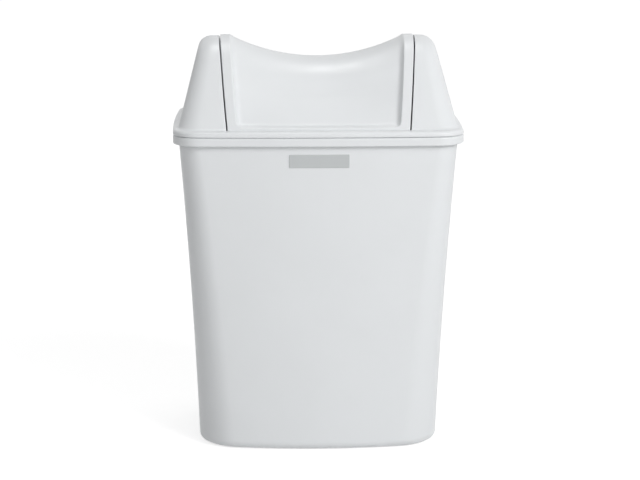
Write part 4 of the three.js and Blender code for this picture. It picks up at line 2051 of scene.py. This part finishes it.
@dataclass
class EffectShelf:
    """Builds each shared effect's node group once and hands it out."""

    built: dict[Effect, bpy.types.NodeTree] = field(default_factory=dict)
    grain_share: float = 0.6
    pebble_share: float = 0.4
    pebble_scale: float = 0.45
    sheen_scale: float = 2.7
    scratch_scale: float = 14.0
    scratch_turn: tuple[float, float, float] = (0.5, 0.3, 0.6)
    scratch_stretch: tuple[float, float, float] = (1.0, 9.0, 14.0)
    scuffed_scale: float = 1.3
    breakup_scale: float = 260.0

    def take(self, effect: Effect) -> bpy.types.NodeTree:
        """Return the node group of an effect, built at its first use.

        Args:
            effect: the effect.

        Returns:
            Its node group.
        """
        makers = {Effect.RELIEF: self._relief, Effect.HANDLING: self._handling, Effect.EDGE: self._edge}
        if effect not in self.built:
            self.built[effect] = makers[effect](effect.value)
        return self.built[effect]

    def _group(
        self, name: str, inputs: dict[str, str], outputs: Sequence[str]
    ) -> tuple[NodeBench, dict[str, Value], bpy.types.Node]:
        """Start a node group.

        Args:
            name: the group's name.
            inputs: each input's name and socket type.
            outputs: the names of its outputs, all plain values.

        Returns:
            The bench, the input sockets by name, and the output node.
        """
        tree = bpy.data.node_groups.new(name, "ShaderNodeTree")
        for socket, kind in inputs.items():
            tree.interface.new_socket(name=socket, in_out="INPUT", socket_type=kind)
        for socket in outputs:
            tree.interface.new_socket(name=socket, in_out="OUTPUT", socket_type="NodeSocketFloat")
        bench = NodeBench(tree)
        entry = bench.add("NodeGroupInput")
        end = bench.add("NodeGroupOutput")
        return bench, {socket: entry.outputs[socket] for socket in inputs}, end

    def _relief(self, name: str) -> bpy.types.NodeTree:
        """Build the grain of the mould's face and the faint waves of a cooled wall, in millimetres.

        Args:
            name: the group's name.

        Returns:
            The group.
        """
        scalar = "NodeSocketFloat"
        bench, given, end = self._group(
            name,
            {
                "Vector": "NodeSocketVector",
                "Grain Scale": scalar,
                "Grain Height": scalar,
                "Wave Scale": scalar,
                "Wave Height": scalar,
            },
            ("Height",),
        )
        grain = bench.noise(given["Vector"], given["Grain Scale"], detail=3.0, roughness=0.6)
        pebbles = bench.add(
            "ShaderNodeTexVoronoi",
            {
                "Vector": given["Vector"],
                "Scale": bench.maths("MULTIPLY", given["Grain Scale"], self.pebble_scale),
            },
            feature="SMOOTH_F1",
        )
        grain = bench.maths("MULTIPLY", grain, self.grain_share)
        pebbled = bench.maths("MULTIPLY", pebbles.outputs[0], self.pebble_share)
        wave = bench.noise(given["Vector"], given["Wave Scale"], detail=1.0, roughness=0.4)
        fine = bench.maths("MULTIPLY", bench.maths("ADD", grain, pebbled), given["Grain Height"])
        bench.feed(end.inputs["Height"], bench.maths("MULTIPLY_ADD", wave, given["Wave Height"], fine))
        return bench.tree

    def _handling(self, name: str) -> bpy.types.NodeTree:
        """Build slow changes of tone and sheen, and fine scuffs.

        Args:
            name: the group's name.

        Returns:
            The group.
        """
        bench, given, end = self._group(
            name,
            {"Vector": "NodeSocketVector", "Scale": "NodeSocketFloat"},
            ("Tone", "Sheen", "Scuff"),
        )
        vector = given["Vector"]
        tone = bench.noise(vector, given["Scale"], detail=4.0, roughness=0.55)
        bench.feed(end.inputs["Tone"], bench.ranged(tone, low=0.3, high=0.7))
        sheen_scale = bench.maths("MULTIPLY", given["Scale"], self.sheen_scale)
        sheen = bench.noise(vector, sheen_scale, detail=5.0, roughness=0.6)
        bench.feed(end.inputs["Sheen"], bench.ranged(sheen, low=0.3, high=0.7))
        stretched = bench.add(
            "ShaderNodeMapping",
            {"Vector": vector, "Rotation": self.scratch_turn, "Scale": self.scratch_stretch},
        )
        scratches = bench.noise(
            stretched.outputs[0], bench.maths("MULTIPLY", given["Scale"], self.scratch_scale)
        )
        patches = bench.noise(vector, bench.maths("MULTIPLY", given["Scale"], self.scuffed_scale))
        lines = bench.ranged(scratches, low=0.66, high=0.74)
        where = bench.ranged(patches, low=0.52, high=0.66)
        bench.feed(end.inputs["Scuff"], bench.maths("MULTIPLY", lines, where))
        return bench.tree

    def _edge(self, name: str) -> bpy.types.NodeTree:
        """Build the polish that hands leave on outer edges, broken up by a fine pattern.

        Args:
            name: the group's name.

        Returns:
            The group.
        """
        scalar = "NodeSocketFloat"
        bench, given, end = self._group(
            name, {"Vector": "NodeSocketVector", "Edge": scalar, "Amount": scalar}, ("Mask",)
        )
        breakup = bench.noise(given["Vector"], self.breakup_scale, detail=5.0, roughness=0.65)
        sharp = bench.ranged(given["Edge"], low=0.12, high=0.8)
        worn = bench.maths("MULTIPLY", sharp, bench.ranged(breakup, low=0.35, high=0.6, to_low=0.35))
        bench.feed(end.inputs["Mask"], bench.maths("MULTIPLY", worn, given["Amount"], clamp=True))
        return bench.tree


@dataclass(frozen=True)
class Finish:
    """A moulded finish: its colours, its sheen and the relief of its skin."""

    name: str
    colour: Colour
    tone_shift: float
    roughness: float
    roughness_spread: float
    grain_size: float
    grain_height_mm: float
    wave_height_mm: float
    edge_polish: float
    scuffing: float
    mark_scale: float = 16.0
    wave_size: float = 45 * MM
    specular: float = 0.5
    worn_tone_factor: float = 4.0
    polish_divisor: float = 3.0

    def shifted(self, factor: float) -> tuple[float, float, float, float]:
        """Return the colour, made lighter or darker by a factor, with its alpha."""
        return (*[min(channel * factor, 1.0) for channel in self.colour], 1.0)

    def material(self, shelf: EffectShelf) -> bpy.types.Material:
        """Make the material.

        Args:
            shelf: the shared effects.

        Returns:
            The material.
        """
        material = bpy.data.materials.new(self.name)
        material.use_nodes = True
        bench = NodeBench(material.node_tree)
        shader = material.node_tree.nodes["Principled BSDF"]
        vector = bench.add("ShaderNodeTexCoord").outputs["Object"]
        edge = bench.add("ShaderNodeAttribute", attribute_name=WEAR).outputs["Fac"]
        relief = bench.add("ShaderNodeGroup", node_tree=shelf.take(Effect.RELIEF))
        marks = bench.add("ShaderNodeGroup", node_tree=shelf.take(Effect.HANDLING))
        polish = bench.add("ShaderNodeGroup", node_tree=shelf.take(Effect.EDGE))
        for group in (relief, marks, polish):
            bench.feed(group.inputs["Vector"], vector)
        bench.feed(relief.inputs["Grain Scale"], 1 / self.grain_size)
        bench.feed(relief.inputs["Grain Height"], self.grain_height_mm)
        bench.feed(relief.inputs["Wave Scale"], 1 / self.wave_size)
        bench.feed(relief.inputs["Wave Height"], self.wave_height_mm)
        bench.feed(marks.inputs["Scale"], self.mark_scale)
        bench.feed(polish.inputs["Edge"], edge)
        bench.feed(polish.inputs["Amount"], self.edge_polish)
        darker = self.shifted(1 - self.tone_shift)
        lighter = self.shifted(1 + self.tone_shift)
        worn = self.shifted(1 + self.worn_tone_factor * self.tone_shift)
        tone = bench.colours(marks.outputs["Tone"], darker, lighter)
        bench.feed(shader.inputs["Base Color"], bench.colours(polish.outputs["Mask"], tone, worn))
        smoothest = self.roughness - self.roughness_spread
        roughest = self.roughness + self.roughness_spread
        polished = -self.roughness / self.polish_divisor
        sheen = bench.ranged(marks.outputs["Sheen"], 0.0, 1.0, smoothest, roughest)
        sheen = bench.maths("MULTIPLY_ADD", marks.outputs["Scuff"], self.scuffing, sheen)
        sheen = bench.maths("MULTIPLY_ADD", polish.outputs["Mask"], polished, sheen, clamp=True)
        bench.feed(shader.inputs["Roughness"], sheen)
        shader.inputs["Specular IOR Level"].default_value = self.specular
        height = relief.outputs["Height"]
        bump = bench.add("ShaderNodeBump", {"Height": height, "Distance": MM, "Strength": 1.0})
        bench.feed(shader.inputs["Normal"], bump.outputs["Normal"])
        return material


SHELL = Finish(
    name="shell_plastic_look", colour=(0.742, 0.760, 0.773), tone_shift=0.008, roughness=0.36,
    roughness_spread=0.05, grain_size=0.35 * MM, grain_height_mm=0.006, wave_height_mm=0.12,
    edge_polish=0.5, scuffing=0.08,
)
RING = Finish(
    name="ring_plastic_look", colour=(0.62, 0.635, 0.64), tone_shift=0.012, roughness=0.5,
    roughness_spread=0.06, grain_size=0.3 * MM, grain_height_mm=0.006, wave_height_mm=0.05,
    edge_polish=0.5, scuffing=0.12,
)
PIVOT = Finish(
    name="pivot_plastic_look", colour=(0.79, 0.78, 0.74), tone_shift=0.01, roughness=0.28,
    roughness_spread=0.05, grain_size=0.2 * MM, grain_height_mm=0.002, wave_height_mm=0.0,
    edge_polish=0.4, scuffing=0.1,
)
PRINT = Finish(
    name="label_plastic_look", colour=(0.50, 0.52, 0.525), tone_shift=0.012, roughness=0.5,
    roughness_spread=0.05, grain_size=0.25 * MM, grain_height_mm=0.004, wave_height_mm=0.01,
    edge_polish=0.3, scuffing=0.1,
)
RUBBER = Finish(
    name="pad_rubber_look", colour=(0.05, 0.051, 0.054), tone_shift=0.12, roughness=0.78,
    roughness_spread=0.08, grain_size=0.5 * MM, grain_height_mm=0.02, wave_height_mm=0.02,
    edge_polish=0.8, scuffing=0.1, mark_scale=90.0, specular=0.35,
)


@dataclass(frozen=True)
class Lamp:
    """A square soft lamp that is aimed at the bin."""

    name: str
    place: tuple[float, float, float]
    size: float
    power: float

    def hang(self, goal: Vector) -> None:
        """Hang the lamp and aim it at a place.

        Args:
            goal: the place.
        """
        lamp = bpy.data.lights.new(self.name, "AREA")
        lamp.shape = "SQUARE"
        lamp.size = self.size
        lamp.energy = self.power
        holder = bpy.data.objects.new(self.name, lamp)
        bpy.context.scene.collection.objects.link(holder)
        holder.location = self.place
        holder.rotation_euler = (goal - Vector(self.place)).to_track_quat("-Z", "Y").to_euler()


@dataclass
class Studio:
    """The floor, the lamps and the camera."""

    camera_place: tuple[float, float, float] = (-0.0464, -1.6493, 0.5056)
    camera_turn: float = 0.0281
    camera_pitch: float = 0.2037
    focal_length_px: float = 1969.2
    photo_width_px: float = 640.0
    axis_px: float = 316.46
    sensor_width: float = 36.0
    floor_size: float = 30.0
    floor_colour: float = 0.8
    floor_shown_colour: float = 0.6
    # Glow of the floor close to the bin, lower than far away: painted shade round the bin.
    near_lift_painted_shade: float = 0.715
    near_reach: float = 0.3
    far_lift: float = 0.84
    far_reach: float = 1.5
    world_strength: float = 0.311
    lamp_goal: tuple[float, float, float] = (0.0, 0.0, 0.2)
    lamps: tuple[Lamp, ...] = (
        Lamp("key_high_right", place=(1.4, -1.7, 1.6), size=1.0, power=27.0),
        Lamp("key_low_right", place=(1.5, -2.0, 1.0), size=1.5, power=10.9),
        Lamp("overhead_spot", place=(-0.02, 0.25, 1.5), size=0.4, power=2.9),
        Lamp("front_fill", place=(0.0, -2.4, 0.9), size=2.0, power=8.2),
    )

    def build_camera(self) -> None:
        """Set the camera at the photograph's viewing angle."""
        start_afresh()
        bpy.ops.object.camera_add(
            location=self.camera_place,
            rotation=(QUARTER_TURN - self.camera_pitch, 0.0, -self.camera_turn),
        )
        camera = bpy.context.object
        camera.name = "photo_camera"
        camera.data.sensor_width = self.sensor_width
        camera.data.lens = self.focal_length_px * self.sensor_width / self.photo_width_px
        camera.data.shift_x = (self.photo_width_px / 2 - self.axis_px) / self.photo_width_px
        bpy.context.scene.camera = camera

    def build_floor(self) -> None:
        """Lay the pale floor. It shows nearly white and takes the bin's shadow; its glow is lower near the
        bin, which paints shade round the bin and deepens that shadow.
        """
        start_afresh()
        bpy.ops.mesh.primitive_plane_add(size=self.floor_size)
        floor = name_new_piece("floor")
        material = bpy.data.materials.new("pale_floor")
        material.use_nodes = True
        bench = NodeBench(material.node_tree)
        shader = material.node_tree.nodes["Principled BSDF"]
        shown = bench.shown_share()
        lit, seen = [(tone, tone, tone, 1.0) for tone in (self.floor_colour, self.floor_shown_colour)]
        bench.feed(shader.inputs["Base Color"], bench.colours(shown, lit, seen))
        place = bench.add("ShaderNodeTexCoord").outputs["Object"]
        reach = bench.add("ShaderNodeVectorMath", {"Vector": place}, operation="LENGTH").outputs["Value"]
        # The glow is lower near the bin: painted shade round it, added to its real shadow from the lamps.
        lift = bench.ranged(reach, self.near_reach, self.far_reach, self.near_lift_painted_shade, self.far_lift)
        bench.feed(shader.inputs["Emission Strength"], bench.maths("MULTIPLY", shown, lift))
        shader.inputs["Emission Color"].default_value = WHITE
        shader.inputs["Roughness"].default_value = 1.0
        shader.inputs["Specular IOR Level"].default_value = 0.0
        floor.data.materials.append(material)
        floor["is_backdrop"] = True

    def build_light(self) -> None:
        """Hang the lamps and light the room."""
        for lamp in self.lamps:
            lamp.hang(Vector(self.lamp_goal))
        world = bpy.data.worlds.new("studio")
        bpy.context.scene.world = world
        world.use_nodes = True
        bench = NodeBench(world.node_tree)
        background = world.node_tree.nodes["Background"]
        background.inputs["Color"].default_value = WHITE
        lift = bench.maths("MULTIPLY", bench.shown_share(), 1 - self.world_strength)
        bench.feed(background.inputs["Strength"], bench.maths("ADD", lift, self.world_strength))


@dataclass
class Dresser:
    """Puts finished pieces in the place of their nodes."""

    shelf: EffectShelf = field(default_factory=EffectShelf)
    materials: dict[str, bpy.types.Material] = field(default_factory=dict)

    def dress(self, piece: bpy.types.Object, node: str, body: str, finish: Finish) -> None:
        """Give a piece its finish and let it stand for a node.

        Args:
            piece: the finished piece.
            node: the node that it stands for.
            body: the body that it rides.
            finish: its finish.
        """
        if finish.name not in self.materials:
            self.materials[finish.name] = finish.material(self.shelf)
        mark_edges(piece)
        piece.data.materials.clear()
        piece.data.materials.append(self.materials[finish.name])
        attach(piece, body)
        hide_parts(node)
        log.info("%s stands for %s on %s, with %d faces", piece.name, node, body, len(piece.data.polygons))


def main() -> None:
    """Build the bin and its studio, in order, and report each piece."""
    logging.basicConfig(level=logging.INFO, format="%(name)s: %(message)s")
    bpy.context.scene.view_settings.view_transform = "Standard"
    sizes = BinSizes()
    dresser = Dresser()
    dresser.dress(Tub(sizes).build(), "bin_body", "bin", SHELL)
    for row in Row:
        for side in Side:
            pad = FootPad(sizes, side, row)
            dresser.dress(pad.build(), pad.node, "bin", RUBBER)
    dresser.dress(Label(sizes).build(), "label_plate", "bin", PRINT)
    dresser.dress(BagRing(sizes).build(), "bag_ring", "ring", RING)
    hood = Hood(sizes)
    dresser.dress(hood.build(), "hood_shell", "hood", SHELL)
    dresser.dress(build_flap(Flap(sizes, hood)), "flap_shell", "flap", SHELL)
    for side in Side:
        hardware = PivotHardware(sizes, side)
        name = side.name.lower()
        dresser.dress(hardware.build_bush(), f"pivot_bush_{name}", "hood", PIVOT)
        dresser.dress(hardware.build_pin(), f"pivot_pin_{name}", "flap", PIVOT)
    studio = Studio()
    studio.build_camera()
    studio.build_floor()
    studio.build_light()
    corners = {"cad": cad_box, "visual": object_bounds()}
    plain = {name: [[float(value) for value in corner] for corner in box] for name, box in corners.items()}


if __name__ == "__main__":
    main()
